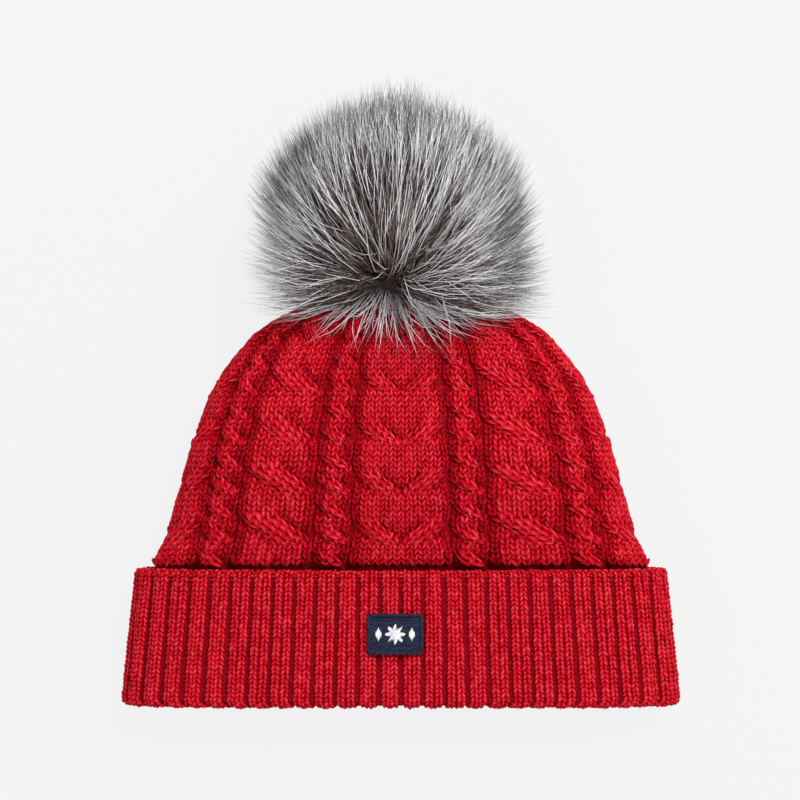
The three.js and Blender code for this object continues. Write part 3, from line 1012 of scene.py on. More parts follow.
def crown_wales(skin, step, reaches):
    """Legs of every knit wale of the cables, and one bar for each row of a purl gap."""
    rows = reaches / step
    along = interpolated(CROWN_TABLE, reaches)[:, 0]
    relief, groove = relief_at(reaches, along), groove_at_cuff(along)
    girth = np.interp(rows, np.arange(len(skin.girth)), skin.girth)
    groups = []
    for kind, start, width, stitches in chart_columns():
        if kind == "purl":
            points, normals = skin.at(rows, start + width / 2)
            points = points - normals * (relief + YARN_RADIUS + PURL_SINK + groove)[:, None]
            bar = purl_bar(girth * width, CROWN_PURL)
            side = sideways(points, normals)
            # Purl bars in the grooves get the full painted shade.
            groups.append([points, side, normals, bar, np.ones_like(girth)])
            continue
        wales, mirror = CABLES[kind].wales, CABLES[kind].mirror
        climb = climb_at(along, kind)
        pitch = girth * width / (2 * wales), girth
        swell = swell_at(kind, climb) / wales
        fixed = -1 if kind.startswith("horseshoe") else 0

        def share(across):
            return start + width * (mirror * (across + (across - fixed) * swell) + 1) / 2

        for wale in range(2 * wales):
            across = (wale + 0.5) / wales - 1
            _, shift, shown = field_of(kind, across, climb)

            def height(there):
                return field_of(kind, there - shift, climb)[0]

            place = (across + shift, share)
            groups.append(cable_legs(skin, rows, relief, groove, pitch, place, height, shown))
        for centre, done, lift, _ in crossings(kind, climb):
            moving = (done > 0) & (done < 1)
            for wale in range(wales):
                across = centre + 0.5 * ((2 * wale + 1) / wales - 1)

                def height(there):
                    return strand_height(kind, there, centre, lift)

                place, lean = (across, share), CROWN_LEAN * (1 - STRAIGHTENING * lift)
                over = cable_legs(skin, rows, relief, groove, pitch, place, height, moving, lean)
                groups.append(over)
    return joined(groups)


def cuff_path():
    """The cuff's surface from the side against the head, round the fold, up and over its edge."""
    fold, edge = CUFF_INSIDE / 2, OUTER_LAYER_BACK / 2
    return [
        (STITCHES_INSIDE, CUFF_INSIDE),
        *arc(fold, fold, fold, 270, 90, 9),
        *arc(CUFF_HEIGHT - edge, edge, edge, 90, -90, 7),
        (CUFF_HEIGHT - edge - STITCHES_BEHIND, OUTER_LAYER_BACK),
    ]


def cuff_skin(path):
    """The skin along a path of (along, inset) places, and how far the ribs stand out on it."""
    rows = [cuff_section(along, inset) for along, inset in path]
    along, inset = path.T
    fade = np.clip((CUFF_HEIGHT - 1 - along) / (RIB_FADE_HEIGHT - 1), RIB_AT_EDGE, 1)
    inside = np.clip(1 - inset / CUFF_INSIDE, RIB_INSIDE, 1)
    return Skin(rows), fade * inside


def rib_depth(offset):
    """How far a place lies below a rib's crest, as a share; offset is -0.5 to 0.5 across it."""
    return (np.abs(offset) / 0.5) ** RIB_ROUND


def cuff_stitches(path):
    """Legs of the two knit wales of every rib, and one bar for each row of the purl between."""
    skin, strength = cuff_skin(path)
    rows = np.arange(len(path))
    groups = []
    random = np.random.default_rng(2)
    for rib in range(RIB_COUNT):
        pinch = 1 - RIB_WANDER * np.sin(random.uniform(0, 6.3) + rows * random.uniform(0.05, 0.15))
        for wale in (-RIB_WALE, RIB_WALE):
            share = (rib + 0.5 + wale * pinch) / RIB_COUNT
            points, normals = skin.at(rows, share)
            pitch = skin.girth / RIB_COUNT * RIB_WALE_WIDTH
            side = sideways(points, normals)
            depth = RIB_RELIEF * strength * rib_depth(wale) + YARN_RADIUS
            tilt = (np.sign(wale) * RIB_TILT * strength)[:, None]
            facing = normals * np.cos(tilt) + side * np.sin(tilt)
            points = points - normals * depth[:, None]
            groups.append(stitch_legs(points, facing, pitch, CUFF_LEAN, 0, upside_down=True))
        points, normals = skin.at(rows, rib / RIB_COUNT)
        side = sideways(points, normals)
        points = points - normals * (RIB_RELIEF * strength + YARN_RADIUS + RIB_PURL_SINK)[:, None]
        bar = purl_bar(skin.girth / RIB_COUNT, RIB_PURL)
        # Purl bars get painted shade as deep as the rib's relief there.
        groups.append([points, side, normals, bar, strength])
    return joined(groups)


def cuff_shell():
    """The closed band of yarn behind the cuff's stitches, one layer inside the other."""
    step, columns = 2.4, RIB_COUNT * 6
    outside = resampled(cuff_path(), step)
    skin, strength = cuff_skin(outside)
    shares = np.arange(columns) / columns
    offset = (shares * RIB_COUNT + 0.5) % 1 - 0.5
    rib = rib_depth(np.abs(np.abs(offset) - 0.5))
    rings = []
    for row in range(len(outside)):
        points, normals = skin.at(np.full(columns, row), shares)
        depth = BEHIND + RIB_RELIEF * strength[row] * rib
        rings.append(points - normals * depth[:, None])
    # Between the two layers it lies a little under the surface of each, as behind the stitches.
    under, inner_under, fold_end = 0.3, 0.1, CUFF_INSIDE
    for along, inset in (
        (fold_end, OUTER_LAYER_BACK - under),
        (fold_end, INNER_LAYER_FRONT + inner_under),
        (CUFF_INNER_HEIGHT - under, INNER_LAYER_FRONT + inner_under),
        (CUFF_INNER_HEIGHT - under, CUFF_INSIDE - under),
    ):
        x, z = flat_section(*cuff_section(along, inset)[1:], shares)
        rings.append(np.stack([x, np.full_like(x, FOLD_Y + along), z], -1))
    return ring_mesh("cuff_shell", rings, closed=True)


def crown_shell():
    """The closed wall of yarn behind the crown's stitches, ribbed by the cables outside."""
    places = []
    for kind, start, width, stitches in chart_columns():
        count = 1 if kind == "purl" else round(2 * stitches)
        for k in range(count):
            across = (k + 0.5) / count
            places.append((start + width * across, kind, 2 * across - 1))
    shares = np.array([place[0] for place in places])
    rows = 66
    reaches = np.arange(rows + 1) * (CROWN_REACH / rows)
    along = interpolated(CROWN_TABLE, reaches)[:, 0]
    relief = relief_at(reaches, along)
    height = np.zeros((len(reaches), len(places)))
    for column, (_, kind, across) in enumerate(places):
        if kind != "purl":
            mirror = CABLES[kind].mirror
            height[:, column] = cable_height(kind, mirror * across, climb_at(along, kind))
    outside = Skin(crown_rows(reaches))
    points, normals = outside.at(np.arange(len(reaches))[:, None], shares[None, :])
    groove = groove_at_cuff(along)
    depth = relief[:, None] * (1 - height) + BEHIND + groove[:, None]
    rings = list(points - normals * depth[..., None])
    tip_inset, blind_depth = 0.5, 6
    tip_height = (CROWN_TABLE[-1, 3] + CROWN_TABLE[-1, 4]) / 2
    tip = np.array([0, FOLD_Y + TIP_ALONG - tip_inset, tip_height])
    rings.append(np.broadcast_to(tip, rings[0].shape))
    # Its inner side has more rings near the cuff, where the wall bends, and ends before the gather.
    bend, inner_end = 20, GATHER_START * CROWN_REACH
    inner_reaches = np.concatenate([np.arange(0, bend, 4), np.linspace(bend, inner_end, 9)])
    inner_along = interpolated(CROWN_TABLE, inner_reaches)[:, 0]
    inner_depth = relief_at(inner_reaches, inner_along) + groove_at_cuff(inner_along)
    inner_rows = crown_rows(inner_reaches, -CROWN_WALL - inner_depth)
    inside = Skin(inner_rows)
    for row in range(len(inner_reaches)):
        rings.insert(0, inside.at(np.full(len(shares), row), shares)[0])
    blind = tip - np.array([0, blind_depth, 0])
    rings.insert(0, np.broadcast_to(blind, rings[0].shape))
    return ring_mesh("crown_shell", rings)


class HAT_OT_cuff(bpy.types.Operator):
    """Builds the folded cuff: ribs of two knit wales to one purl, worked upside down"""

    bl_idname = "winter_hat.cuff"
    bl_label = "Ribbed Cuff"

    def execute(self, context):
        hat = settings()
        behind = knit_behind("wool_behind_ribs", *WOOL_BEHIND_PAINTED_SHADE)
        dressed(cuff_shell(), "red_wool_rib", behind, "cuff")
        wool = worsted_wool("worsted_wool_rib", hat.wool_shade, hat.wool, hat.wool_painted_highlight)
        stitches = cuff_stitches(resampled(cuff_path(), hat.row_height / MM))
        for piece in knitted("cuff_stitches", stitches, wool, hat.seed):
            dressed(piece, "red_wool_rib", None, "cuff")
        return {"FINISHED"}


class HAT_OT_crown(bpy.types.Operator):
    """Builds the cable-knit crown: rope, wave and horseshoe cables between purl gaps"""

    bl_idname = "winter_hat.crown"
    bl_label = "Cable-Knit Crown"

    def execute(self, context):
        hat = settings()
        behind = knit_behind("wool_behind_cables", *WOOL_BEHIND_PAINTED_SHADE)
        dressed(crown_shell(), "red_wool_cable", behind, "crown")
        wool = worsted_wool("worsted_wool_cable", hat.wool_shade, hat.wool, hat.wool_painted_highlight)
        step = 1.0
        skin = Skin(crown_rows(np.arange(0, CROWN_REACH, step)))
        first, last = CROWN_OVERLAP + FIRST_STITCH, CROWN_REACH * LAST_STITCH
        reaches = np.arange(first, last, hat.row_height / MM * CROWN_ROW)
        stitches = crown_wales(skin, step, reaches)
        for piece in knitted("crown_stitches", stitches, wool, hat.seed + 1):
            dressed(piece, "red_wool_cable", None, "crown")
        return {"FINISHED"}


# Fur

FUR_MIDDLE = POMPOM_MIDDLE + np.array([-3.4, 0, 0])
FUR_REACH = POMPOM_REACH + np.array([-0.3, -3.8, 0])
# Over the knit the fur hangs lower to both sides, in lobes this sharp, and a little more so to
# the right.
FUR_SKIRT = 20
SKIRT_SHARPNESS = 2
SKIRT_LEAN = 0.3
# A tuft stands out at the top: its direction, its height and its width in radians.
TUFT = unit(np.array([0.05, 1, 0.1]))
TUFT_REACH = 4.6
TUFT_WIDTH = 0.3
# The core that the hairs are rooted in.
CORE_MIDDLE = np.array([-1, 76, 46])
CORE_RADIUS = 29.0
# The fur parts here, low on the front of the pompom, and its hairs lie away from this point.
SWIRL = unit(np.array([-0.18, -0.88, 0.45]))
# Here, in the middle of its front and below the parting, few hairs cross the dark undercoat.
BARE_PLACES = (
    # direction, half its width in degrees
    ((-0.16, -0.2, 0.97), 44),
    ((-0.05, -0.92, 0.38), 40),
)
# Their soft edge, as a share of their width.
BARE_EDGE = 0.6
# The fur's lower edge over the knit, how much lower it hangs at both sides, how softly hairs bend
# away from it and how far to either side it reaches.
HEM_Y = 43.0
HEM_SAG = 8.0
HEM_SOFTNESS = 3.0
HEM_HALF_WIDTH = 58
HEM_SCATTER = 1.5
# The fur starts to thin this far above its hem, and over this length.
THIN_ABOVE = 3
THIN_LENGTH = 9
# How high hairs' middles and ends lie above the knit, and how much that differs.
BEND_SLACK = 2.5
END_SLACK = 0.8
LOOSENESS = 1.5
# How far hairs are swept away from the parting, at the parting itself, and how much more of them
# grow there.
SWEEP = math.radians(46)
CROWDING = 0.55
# How much the sweep differs from hair to hair, and its least and most, in radians.
SWEEP_SCATTER = 0.35
SWEEP_LIMITS = (-0.2, 1.6)
# How light dark and pale hairs are, from black to white, and how much clumps differ.
DARK_HAIR = (0.02, 0.15)
PALE_HAIR = (0.85, 1.2)
CLUMP_LIGHT = (0.8, 1)
# How many of a layer's dark hairs there are anyway, and how many more where there is smoke.
DARK_ANYWAY = 0.7
DARK_IN_SMOKE = 0.6


class FurLayer(NamedTuple):
    """One kind of hair in the pompom, in millimetres and in shares."""

    name: str
    hairs: int
    # Where its hairs end, on the way from the pompom's middle to its outline.
    ends: tuple
    # How much they are swept, how much their ends scatter and how much their middles do.
    lie: float
    spread: float
    stray: float
    # How many clumps their ends draw together in, and how far.
    clumps: int
    gather: float
    # How many of them are dark, and how many are missing in the bare places and below the hem.
    dark: float
    bare: float
    thin: float
    # How far they hang below the hem.
    fall: float
    # How thick they are against the setting, and how many lengths each is made of.
    girth: tuple
    joints: int


UNDERCOAT = FurLayer(
    "undercoat", hairs=7000, ends=(0.6, 0.82), lie=0.6, spread=0.1, stray=0.8, clumps=900,
    gather=0.3, dark=0.2, bare=0, thin=0.6, fall=0, girth=(1.4, 2.0), joints=2,
)
UNDERFUR = FurLayer(
    "underfur", hairs=18500, ends=(0.8, 1.0), lie=1, spread=0.06, stray=0.5, clumps=4000,
    gather=0.35, dark=0.5, bare=0.98, thin=0.97, fall=0, girth=(0.7, 1.15), joints=2,
)
GUARD_HAIR = FurLayer(
    "guard_hair", hairs=11500, ends=(0.88, 1.08), lie=1, spread=0.1, stray=1.5, clumps=4000,
    gather=0.3, dark=0.15, bare=0.9, thin=0.78, fall=31, girth=(0.7, 1.0), joints=3,
)
# The share of hairs with dark tips: what it is everywhere, how much more it is in some
# directions from the middle, and how far round them, in radians.
SMOKE_EVERYWHERE = 0.25
SMOKE_WIDTH = 0.45
SMOKE = (
    ((-0.85, 0.5, 0.1), 0.75),
    ((0.97, -0.25, 0.1), 0.8),
    ((0.05, 0.95, 0.25), 0.45),
    ((-0.9, -0.4, 0.2), -0.25),
    ((0.85, 0.15, 0.5), 0.4),
    ((0.7, 0.65, -0.2), 0.4),
    ((0.2, -0.2, -0.95), 0.5),
)


def pompom_reach(directions):
    """How far the pompom reaches from its middle in each direction."""
    ball = 1 / np.linalg.norm(directions / FUR_REACH, axis=-1)
    down = np.maximum(0, -directions[..., 1])
    skirt = (2 * np.abs(directions[..., 0]) * down) ** SKIRT_SHARPNESS
    skirt *= 1 + SKIRT_LEAN * np.maximum(0, directions[..., 0])
    tuft = np.exp(-((polar_of(directions, TUFT) / TUFT_WIDTH) ** 2))
    return ball + POMPOM_DROOP * down**3 + FUR_SKIRT * skirt + TUFT_REACH * tuft


def polar_of(directions, axis):
    return np.arccos(np.clip(directions @ axis, -1, 1))


def swept(directions, axis, angle):
    """Directions turned away from an axis by an angle each, in radians."""
    away = directions - (directions @ axis)[:, None] * axis
    away = unit(away + 1e-9)
    polar = np.minimum(polar_of(directions, axis) + angle, math.pi - 1e-3)[:, None]
    return axis * np.cos(polar) + away * np.sin(polar)


def scattered(random, count, towards=0.0):
    """Random directions, evenly spread over a ball or crowded towards a vector."""
    return unit(random.normal(size=(count, 3)) + towards)


def crown_top(x, y):
    """The height of the crown's front and of its seam at these places, and -1 where it isn't."""
    reaches = np.linspace(0, CROWN_REACH, 171)
    along, half_width, top, bottom = interpolated(CROWN_TABLE, reaches).T
    here = y - FOLD_Y
    half = np.interp(here, along, half_width, right=0.1)
    high = np.interp(here, along, top)
    low = np.maximum(np.interp(here, along, bottom), 0)
    s = np.clip(x / half, -1, 1)
    c = np.sqrt(1 - s * s)
    seam = low + (high - low) * SEAM_SHARE
    front = seam + c * (high - seam) * np.sqrt(1 + s * s)
    over = (np.abs(x) < half) & (here < TIP_ALONG)
    return np.where(over, front, -1), np.where(over, seam, -1)


def smoke_at(directions):
    """The share of hairs with dark tips in each direction."""
    share = np.full(len(directions), SMOKE_EVERYWHERE)
    for middle, strength in SMOKE:
        apart = polar_of(directions, unit(np.array(middle)))
        share = share + strength * np.exp(-((apart / SMOKE_WIDTH) ** 2))
    return np.clip(share, 0, 0.9)


def bareness(directions):
    """How far the undercoat shows in each direction, from 0 to 1."""
    bare = np.zeros(len(directions))
    for middle, angle in BARE_PLACES:
        apart = np.degrees(polar_of(directions, unit(np.array(middle)))) / angle
        bare = np.maximum(bare, 1 - smooth(np.clip((apart - 1) / BARE_EDGE + 0.5, 0, 1)))
    return bare


def hanging(random, out, tips, layer):
    """Keeps hairs' ends above the hem, below which only the fall of their layer reaches.

    Gives the ends back, from the middle of the fur, with the hairs that stay where it thins.
    """
    count, across = len(out), out[:, 0] / HEM_HALF_WIDTH
    drop = layer.fall * random.uniform(0, 1, count) ** 0.6 * np.clip(1 - across**2, 0, 1)
    out[:, 1] -= drop * smooth(np.clip((-tips[:, 1] - 0.4) / 0.4, 0, 1))
    hem = HEM_Y - HEM_SAG * np.clip(across, -1, 1) ** 2 + random.normal(0, HEM_SCATTER, count)
    hem -= drop + FUR_MIDDLE[1]
    below = smooth(np.clip((hem + THIN_ABOVE - out[:, 1]) / THIN_LENGTH, 0, 1))
    stays = random.uniform(0, 1, count) > layer.thin * below
    above = np.clip((out[:, 1] - hem) / HEM_SOFTNESS, -20, 20)
    bent = hem + HEM_SOFTNESS * np.log1p(np.exp(above))
    out[:, 1] = np.where(above < 20, bent, out[:, 1])
    return out, stays


def lie_on_knit(random, points, faces_up, slack):
    """Lifts the points that are buried in the crown until they lie loosely on it."""
    front, seam = crown_top(points[:, 0], points[:, 1])
    buried = (faces_up | (points[:, 2] > seam)) & (points[:, 2] < front + slack)
    points[buried, 2] = (front + slack)[buried] + random.uniform(0, LOOSENESS, buried.sum())


def hair_lights(random, tips, nearest, layer):
    """How light each hair is: dark or pale, and a little different from clump to clump."""
    count = len(tips)
    share = layer.dark * (DARK_ANYWAY + DARK_IN_SMOKE * smoke_at(tips))
    is_dark = random.uniform(0, 1, count) < share
    dark, pale = random.uniform(*DARK_HAIR, count), random.uniform(*PALE_HAIR, count)
    return np.where(is_dark, dark, pale) * random.uniform(*CLUMP_LIGHT, layer.clumps)[nearest]


def hairs(random, layer):
    """Hairs of one layer of the pompom, from its core outwards, in millimetres.

    Each hair runs from a root by a bend to its end, and is dark or pale all along. Ends draw
    together in clumps, and hairs that would end inside the knit are left out.
    """
    count = round(layer.hairs * settings().fur_density)
    normals = scattered(random, count, CROWDING * SWIRL)
    parted = (1 - polar_of(normals, SWIRL) / math.pi) ** 0.8
    sweep = SWEEP * layer.lie * parted * random.normal(1, SWEEP_SCATTER, count)
    sweep = sweep.clip(*SWEEP_LIMITS)
    tips = swept(normals, SWIRL, sweep)
    tips = unit(tips + random.normal(0, layer.spread, (count, 3)))
    crossed = np.maximum(bareness(tips), 0.95 * bareness(unit(normals + tips)))
    kept = random.uniform(0, 1, count) > layer.bare * crossed
    normals, sweep, tips, crossed = normals[kept], sweep[kept], tips[kept], crossed[kept]
    count = len(normals)

    middles = scattered(random, layer.clumps)
    nearest = np.concatenate([(part @ middles.T).argmax(1) for part in np.array_split(tips, 40)])
    pull = (layer.gather * random.uniform(0.2, 1, count))[:, None]
    tips = unit(tips * (1 - pull) + middles[nearest] * pull)
    lights = hair_lights(random, tips, nearest, layer)
    out = tips * (pompom_reach(tips) * random.uniform(*layer.ends, count))[:, None]
    out, stays = hanging(random, out, tips, layer)
    ends = FUR_MIDDLE + out

    roots = CORE_MIDDLE + normals * CORE_RADIUS * random.uniform(0.8, 1.05, count)[:, None]
    halfway = swept(normals, SWIRL, sweep * 0.35)
    length = np.linalg.norm(ends - CORE_MIDDLE, axis=1) - CORE_RADIUS
    bends = CORE_MIDDLE + halfway * (CORE_RADIUS + 0.5 * length)[:, None]
    bends += random.normal(0, 1, (count, 3)) * layer.stray
    faces_up = normals[:, 2] > -0.4
    lie_on_knit(random, bends, faces_up, BEND_SLACK)
    lie_on_knit(random, ends, faces_up, END_SLACK)
    front, seam = crown_top(ends[:, 0], ends[:, 1])
    free = stays & ((front < 0) | (ends[:, 2] > seam))
    sides = unit(np.cross(ends - roots, random.normal(size=(count, 3))))
    turning = np.maximum(crossed, bareness(normals)) * (layer.bare > 0.9)
    made = (roots, bends - roots, ends - roots, sides, smoke_at(tips), lights, turning)
    return [part[free] for part in made]


def fur_piece(layer, random, material, seed):
    """The hairs of one layer, as one mesh."""
    roots, bends, reaches, sides, smoke, lights, turning = hairs(random, layer)
    name = f"pompom_{layer.name}"
    points = points_mesh(
        name,
        roots,
        root=roots * MM,
        bend=bends * MM,
        reach=reaches * MM,
        side=sides,
        girth=random.uniform(*layer.girth, len(roots)),
        smoke=smoke,
        light=lights,
        turning=turning,
    )
    tree = bpy.data.node_groups.get("Hairs") or hair_tree()
    shape = {"Joints": layer.joints, "Thickness": settings().hair_thickness}
    return grown(name, points, tree, Seed=seed, Material=material, **shape)


def fur_heart(random):
    """The dense underfur round the core, which no light gets through."""
    rows, columns, roughness = 24, 36, 0.04
    polar = np.linspace(0, math.pi, rows)
    turn = np.arange(columns) / columns * 2 * math.pi
    rings = []
    for angle in polar:
        ring = np.stack(
            [
                np.sin(angle) * np.cos(turn),
                np.sin(angle) * np.sin(turn),
                np.full(columns, np.cos(angle)),
            ],
            -1,
        )
        rough = 1
        if angle not in (0, math.pi):
            rough = 1 + random.uniform(-roughness, roughness, columns)[:, None]
        rings.append(CORE_MIDDLE + ring * (CORE_RADIUS + 1) * rough)
    return ring_mesh("pompom_heart", rings[::-1])


class HAT_OT_pompom(bpy.types.Operator):
    """Builds the fur pompom: undercoat, underfur and guard hairs that part near the gather"""

    bl_idname = "winter_hat.pompom"
    bl_label = "Fur Pompom"

    def execute(self, context):
        hat = settings()
        random = np.random.default_rng(hat.seed)
        root, silver = list(hat.fur_root), list(hat.fur)
        brown, pale = linear("#584642"), mixed(silver, [1, 1, 1], 0.5)
        undercoat = fox_fur(
            "silver_fox_undercoat",
            ((0.2, root), (0.6, brown), (1.0, linear("#968582"))),
            ((0.2, root), (0.9, brown), (1.0, linear("#6E605D"))),
        )
        underfur = fox_fur(
            "silver_fox_underfur",
            ((0.15, root), (0.42, brown), (0.66, silver), (1.0, pale)),
            ((0.15, root), (0.42, brown), (0.6, silver), (0.84, linear("#1E1A1C"))),
        )
        guard = fox_fur(
            "silver_fox_guard_hair",
            ((0.0, root), (0.2, silver), (0.45, linear("#F2F0F3")), (1.0, linear("#FFFFFF"))),
            ((0.0, root), (0.35, silver), (0.6, pale), (0.86, linear("#161415"))),
        )
        heart = knit_behind("fur_heart", linear("#2A2223"), linear("#4A3F40"))
        dressed(fur_heart(random), "silver_fur", heart, "pompom")
        coats = ((UNDERCOAT, undercoat), (UNDERFUR, underfur), (GUARD_HAIR, guard))
        for index, (layer, material) in enumerate(coats):
            piece = fur_piece(layer, random, material, hat.seed + index)
            dressed(piece, "silver_fur", None, "pompom")
        return {"FINISHED"}


# Patch

# How wide threads are against the gap between them, in the border and in filled shapes.
SATIN_WIDTH = 0.75
FILL_WIDTH = 0.72
# In filled shapes: how far a thread runs on past its stitch, the shortest first stitch in a row,
# and how much further on, in stitches, each row starts than the one before.
OVERRUN = 0.25
SHORTEST_STITCH = 0.4
STAGGER = 0.37
# How much wider than a motif the square is in which it is filled.
MOTIF_MARGIN = 2


def satin(outline, width, pitch, thick):
    """Threads laid side by side across a band that follows a closed outline, flat at height 0."""
    outline = np.array(outline, float)
    closed = np.concatenate([outline, outline[:1]])
    length = np.concatenate([[0], np.cumsum(np.linalg.norm(np.diff(closed, axis=0), axis=1))])
    count = round(length[-1] / pitch)
    places = np.arange(count) / count * length[-1]
    centre = np.stack([np.interp(places, length, side) for side in closed.T], -1)
    ahead = np.roll(centre, -2, 0) - np.roll(centre, 2, 0)
    across = unit(np.stack([ahead[:, 1], -ahead[:, 0], np.zeros(count)], -1))
    points = np.column_stack([centre, np.zeros(count)])
    size = np.tile([thick, pitch * SATIN_WIDTH, width / 2], (count, 1))
    return [points, across, np.tile([0.0, 0, 1], (count, 1)), size]


def rounded_rectangle(width, height, corner, steps=6):
    points = []
    for sx, sy, start in ((1, 1, 0), (-1, 1, 90), (-1, -1, 180), (1, -1, 270)):
        for k in range(steps + 1):
            a = math.radians(start + 90 * k / steps)
            centre = (sx * (width / 2 - corner), sy * (height / 2 - corner))
            points.append((centre[0] + corner * math.cos(a), centre[1] + corner * math.sin(a)))
    return points


def filled(inside, box, pitch, thick, turn=0.0, longest=100):
    """Rows of threads that fill a shape; inside says of points (x, y) whether they are in it.

    A row that is longer than the longest stitch is laid in several, end to end.
    """
    half = box / 2
    rows = np.arange(-half, half, pitch)
    samples = np.linspace(-half, half, 400)
    points, directions, sizes = [], [], []
    cos, sin = math.cos(turn), math.sin(turn)
    for index, row in enumerate(rows):
        x, y = samples * cos - row * sin, samples * sin + row * cos
        mask = inside(x, y)
        edges = np.flatnonzero(np.diff(np.concatenate([[0], mask.astype(int), [0]])))
        for begin, end in zip(edges[::2], edges[1::2]):
            first, last = samples[begin], samples[end - 1]
            if last - first < pitch:
                continue
            inner = np.arange(first - longest * (0.2 + STAGGER * index % 1), last, longest)
            cuts = [first, *inner[inner > first + SHORTEST_STITCH], last]
            for start, stop in zip(cuts[:-1], cuts[1:]):
                middle = (start + stop) / 2
                points.append((middle * cos - row * sin, middle * sin + row * cos, 0))
                directions.append((cos, sin, 0))
                sizes.append((thick, pitch * FILL_WIDTH, (stop - start) / 2 + OVERRUN))
    facing = np.tile([0.0, 0, 1], (len(points), 1))
    return [np.array(points, float), np.array(directions, float), facing, np.array(sizes, float)]


def at_place(stitches, x, y, z):
    points, directions, facings, sizes = stitches
    return [points + np.array([x, y, z]), directions, facings, sizes]


def star_shape(radius, waist, arms):
    """Says of points whether they lie in a star with this many arms."""

    def inside(x, y):
        turn = (np.arctan2(x, y) / (2 * math.pi) * arms) % 1
        edge = waist + (radius - waist) * np.abs(2 * turn - 1) ** 1.3
        return np.hypot(x, y) < edge

    return inside


def lozenge_shape(width, height):
    """Says of points whether they lie in a lozenge."""
    return lambda x, y: np.abs(x) / (width / 2) + np.abs(y) / (height / 2) < 1


class HAT_OT_patch(bpy.types.Operator):
    """Builds the embroidered patch: satin-stitched border, ribbed ground, star and lozenges"""

    bl_idname = "winter_hat.patch"
    bl_label = "Embroidered Patch"

    def execute(self, context):
        hat = settings()
        navy = embroidery_thread(
            "navy_embroidery_thread", linear("#090C1C"), linear("#131933"), linear("#262E4E")
        )
        white = embroidery_thread(
            "white_embroidery_thread", linear("#B9B6B8"), linear("#E4E2E4"), linear("#FAFAFA")
        )
        tree = bpy.data.node_groups.get("Stitches") or stitch_tree()
        x, y = PATCH_ACROSS, FOLD_Y + PATCH_ALONG
        width, height = PATCH_WIDTH - PATCH_BAND, PATCH_HEIGHT - PATCH_BAND

        def ground_inside(px, py):
            return (np.abs(px) < width / 2) & (np.abs(py) < height / 2)

        ground_low, ground_high = (corner.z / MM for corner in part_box("patch_ground"))
        motif_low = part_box("patch_star")[0].z / MM
        border = satin(rounded_rectangle(width, height, PATCH_CORNER), PATCH_BAND, *BORDER_THREAD)
        border = at_place(border, x, y, ground_high + BORDER_RISE)
        rings, felt_high = [], ground_high - FELT_SINK
        felt_size = PATCH_WIDTH - FELT_MARGIN, PATCH_HEIGHT - FELT_MARGIN
        felt_edge = rounded_rectangle(*felt_size, PATCH_CORNER)
        for share, level in ((0, ground_low), (1, ground_low), (1, felt_high), (0, felt_high)):
            edge = np.array(felt_edge) * share
            rings.append(np.column_stack([edge + (x, y), np.full(len(edge), level)]))
        felt = knit_behind("patch_backing_felt", linear("#0B0E1F"), linear("#161C36"))
        dressed(ring_mesh("patch_backing", rings), "navy_thread", felt, "patch_ground")
        ground = filled(ground_inside, 2 * PATCH_WIDTH, *GROUND_THREAD, longest=GROUND_STITCH)
        ground = at_place(ground, x, y, ground_high - GROUND_SINK)
        star = star_shape(STAR_RADIUS, STAR_WAIST, STAR_ARMS)
        star = filled(star, 2 * STAR_RADIUS + MOTIF_MARGIN, *MOTIF_THREAD, math.radians(60))
        star = at_place(star, x, y, motif_low)
        for name, stitches, slot, material in (
            ("patch_border", border, "navy_thread", navy),
            ("patch_ground", ground, "navy_thread", navy),
            ("patch_star", star, "white_thread", white),
        ):
            self.stitch(name, stitches, slot, material, tree, hat.seed)
        for name, hand in (("patch_lozenge_left", -1), ("patch_lozenge_right", 1)):
            lozenge, box = lozenge_shape(LOZENGE_WIDTH, LOZENGE_HEIGHT), LOZENGE_HEIGHT + MOTIF_MARGIN
            lozenge = filled(lozenge, box, *MOTIF_THREAD, math.radians(90))
            lozenge = at_place(lozenge, x + hand * LOZENGE_ACROSS, y, motif_low)
            self.stitch(name, lozenge, "white_thread", white, tree, hat.seed)
        return {"FINISHED"}

    def stitch(self, node, stitches, slot, material, tree, seed):
        """Grows the threads that stand for one solid of the patch."""
        name = node + "_threads"
        places, directions, facings, sizes = stitches
        points = points_mesh(
            name, places, direction=directions, facing=facings, size=sizes * MM
        )
        piece = grown(name, points, tree, Sides=6, Rings=5, Seed=seed, Material=material)
        dressed(piece, slot, None, node)


# Stage


# The floor's half width, and the camera's place above the hat, both in metres, and its lens.
FLOOR_HALF = 4.0
CAMERA_PLACE = (-0.00045, -0.00083, 1.517)
CAMERA_LENS = 150
# How bright the light table and the room are.
TABLE_GLOW = 0.85
ROOM_LIGHT = 0.55


def soft_light(name, place, aim, size, power):
    """A square soft light at a place, turned towards another, both in metres."""
    light = bpy.data.lights.new(name, "AREA")
    light.shape, light.size, light.energy = "SQUARE", size, power
    lamp = show(name, light)
    lamp.location = place
    lamp.rotation_euler = (Vector(aim) - Vector(place)).to_track_quat("-Z", "Y").to_euler()


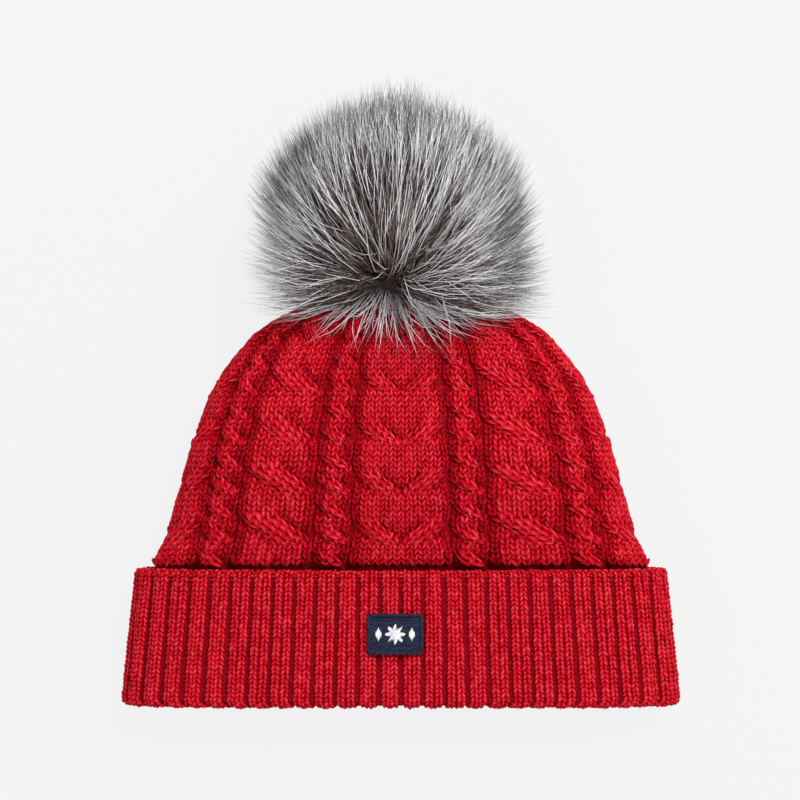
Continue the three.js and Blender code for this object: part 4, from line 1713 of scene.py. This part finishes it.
class HAT_OT_stage(bpy.types.Operator):
    """Builds the pale floor, the soft studio light and the camera straight above the hat"""

    bl_idname = "winter_hat.stage"
    bl_label = "Stage"

    def execute(self, context):
        scene = context.scene
        mesh, half = bpy.data.meshes.new("floor"), FLOOR_HALF
        corners = [(-half, -half, 0), (half, -half, 0), (half, half, 0), (-half, half, 0)]
        mesh.from_pydata(corners, [], [(0, 1, 2, 3)])
        floor = show("floor", mesh)
        table, tree, shader = new_material("light_table", Roughness=0.9, Specular_IOR_Level=0.1)
        rough_bump(tree, shader, grain=1.5, strength=0.05, distance=0.1)
        shader.inputs["Base Color"].default_value = (*linear("#3A3A3A"), 1)
        shader.inputs["Emission Color"].default_value = (1, 1, 1, 1)
        shader.inputs["Emission Strength"].default_value = TABLE_GLOW
        mesh.materials.append(table)

        world = bpy.data.worlds.new("studio")
        world.use_nodes = True
        room = world.node_tree.nodes["Background"].inputs
        room["Color"].default_value = (1, 1, 1, 1)
        room["Strength"].default_value = ROOM_LIGHT
        scene.world = world
        soft_light("key_light", place=(0.6, 0.7, 1.2), aim=(0, 0, 0), size=0.6, power=22)
        soft_light("fill_light", place=(-0.9, -0.2, 1.3), aim=(0, 0, 0), size=0.9, power=4)

        camera = bpy.data.cameras.new("camera")
        camera.lens, camera.sensor_width = CAMERA_LENS, 36
        seen = show("camera", camera)
        seen.location = CAMERA_PLACE
        scene.camera = seen
        scene.view_settings.view_transform = "Standard"
        return {"FINISHED"}


class HAT_PT_panel(bpy.types.Panel):
    """Lists the hat's sizes, colours and pieces"""

    bl_idname = "HAT_PT_panel"
    bl_label = "Winter Hat"
    bl_space_type = "VIEW_3D"
    bl_region_type = "UI"
    bl_category = "Winter Hat"

    def draw(self, context):
        for name in HatSettings.__annotations__:
            self.layout.prop(context.scene.winter_hat, name)
        for operator in OPERATORS:
            self.layout.operator(operator.bl_idname)


OPERATORS = (HAT_OT_stage, HAT_OT_cuff, HAT_OT_crown, HAT_OT_patch, HAT_OT_pompom)
CLASSES = (HatSettings, *OPERATORS, HAT_PT_panel)


def register():
    for each in CLASSES:
        bpy.utils.register_class(each)
    bpy.types.Scene.winter_hat = PointerProperty(type=HatSettings)


def unregister():
    del bpy.types.Scene.winter_hat
    for each in reversed(CLASSES):
        bpy.utils.unregister_class(each)


def main():
    register()
    bpy.ops.winter_hat.stage()
    bpy.ops.winter_hat.cuff()
    bpy.ops.winter_hat.crown()
    bpy.ops.winter_hat.patch()
    bpy.ops.winter_hat.pompom()


if __name__ == "__main__":
    main()
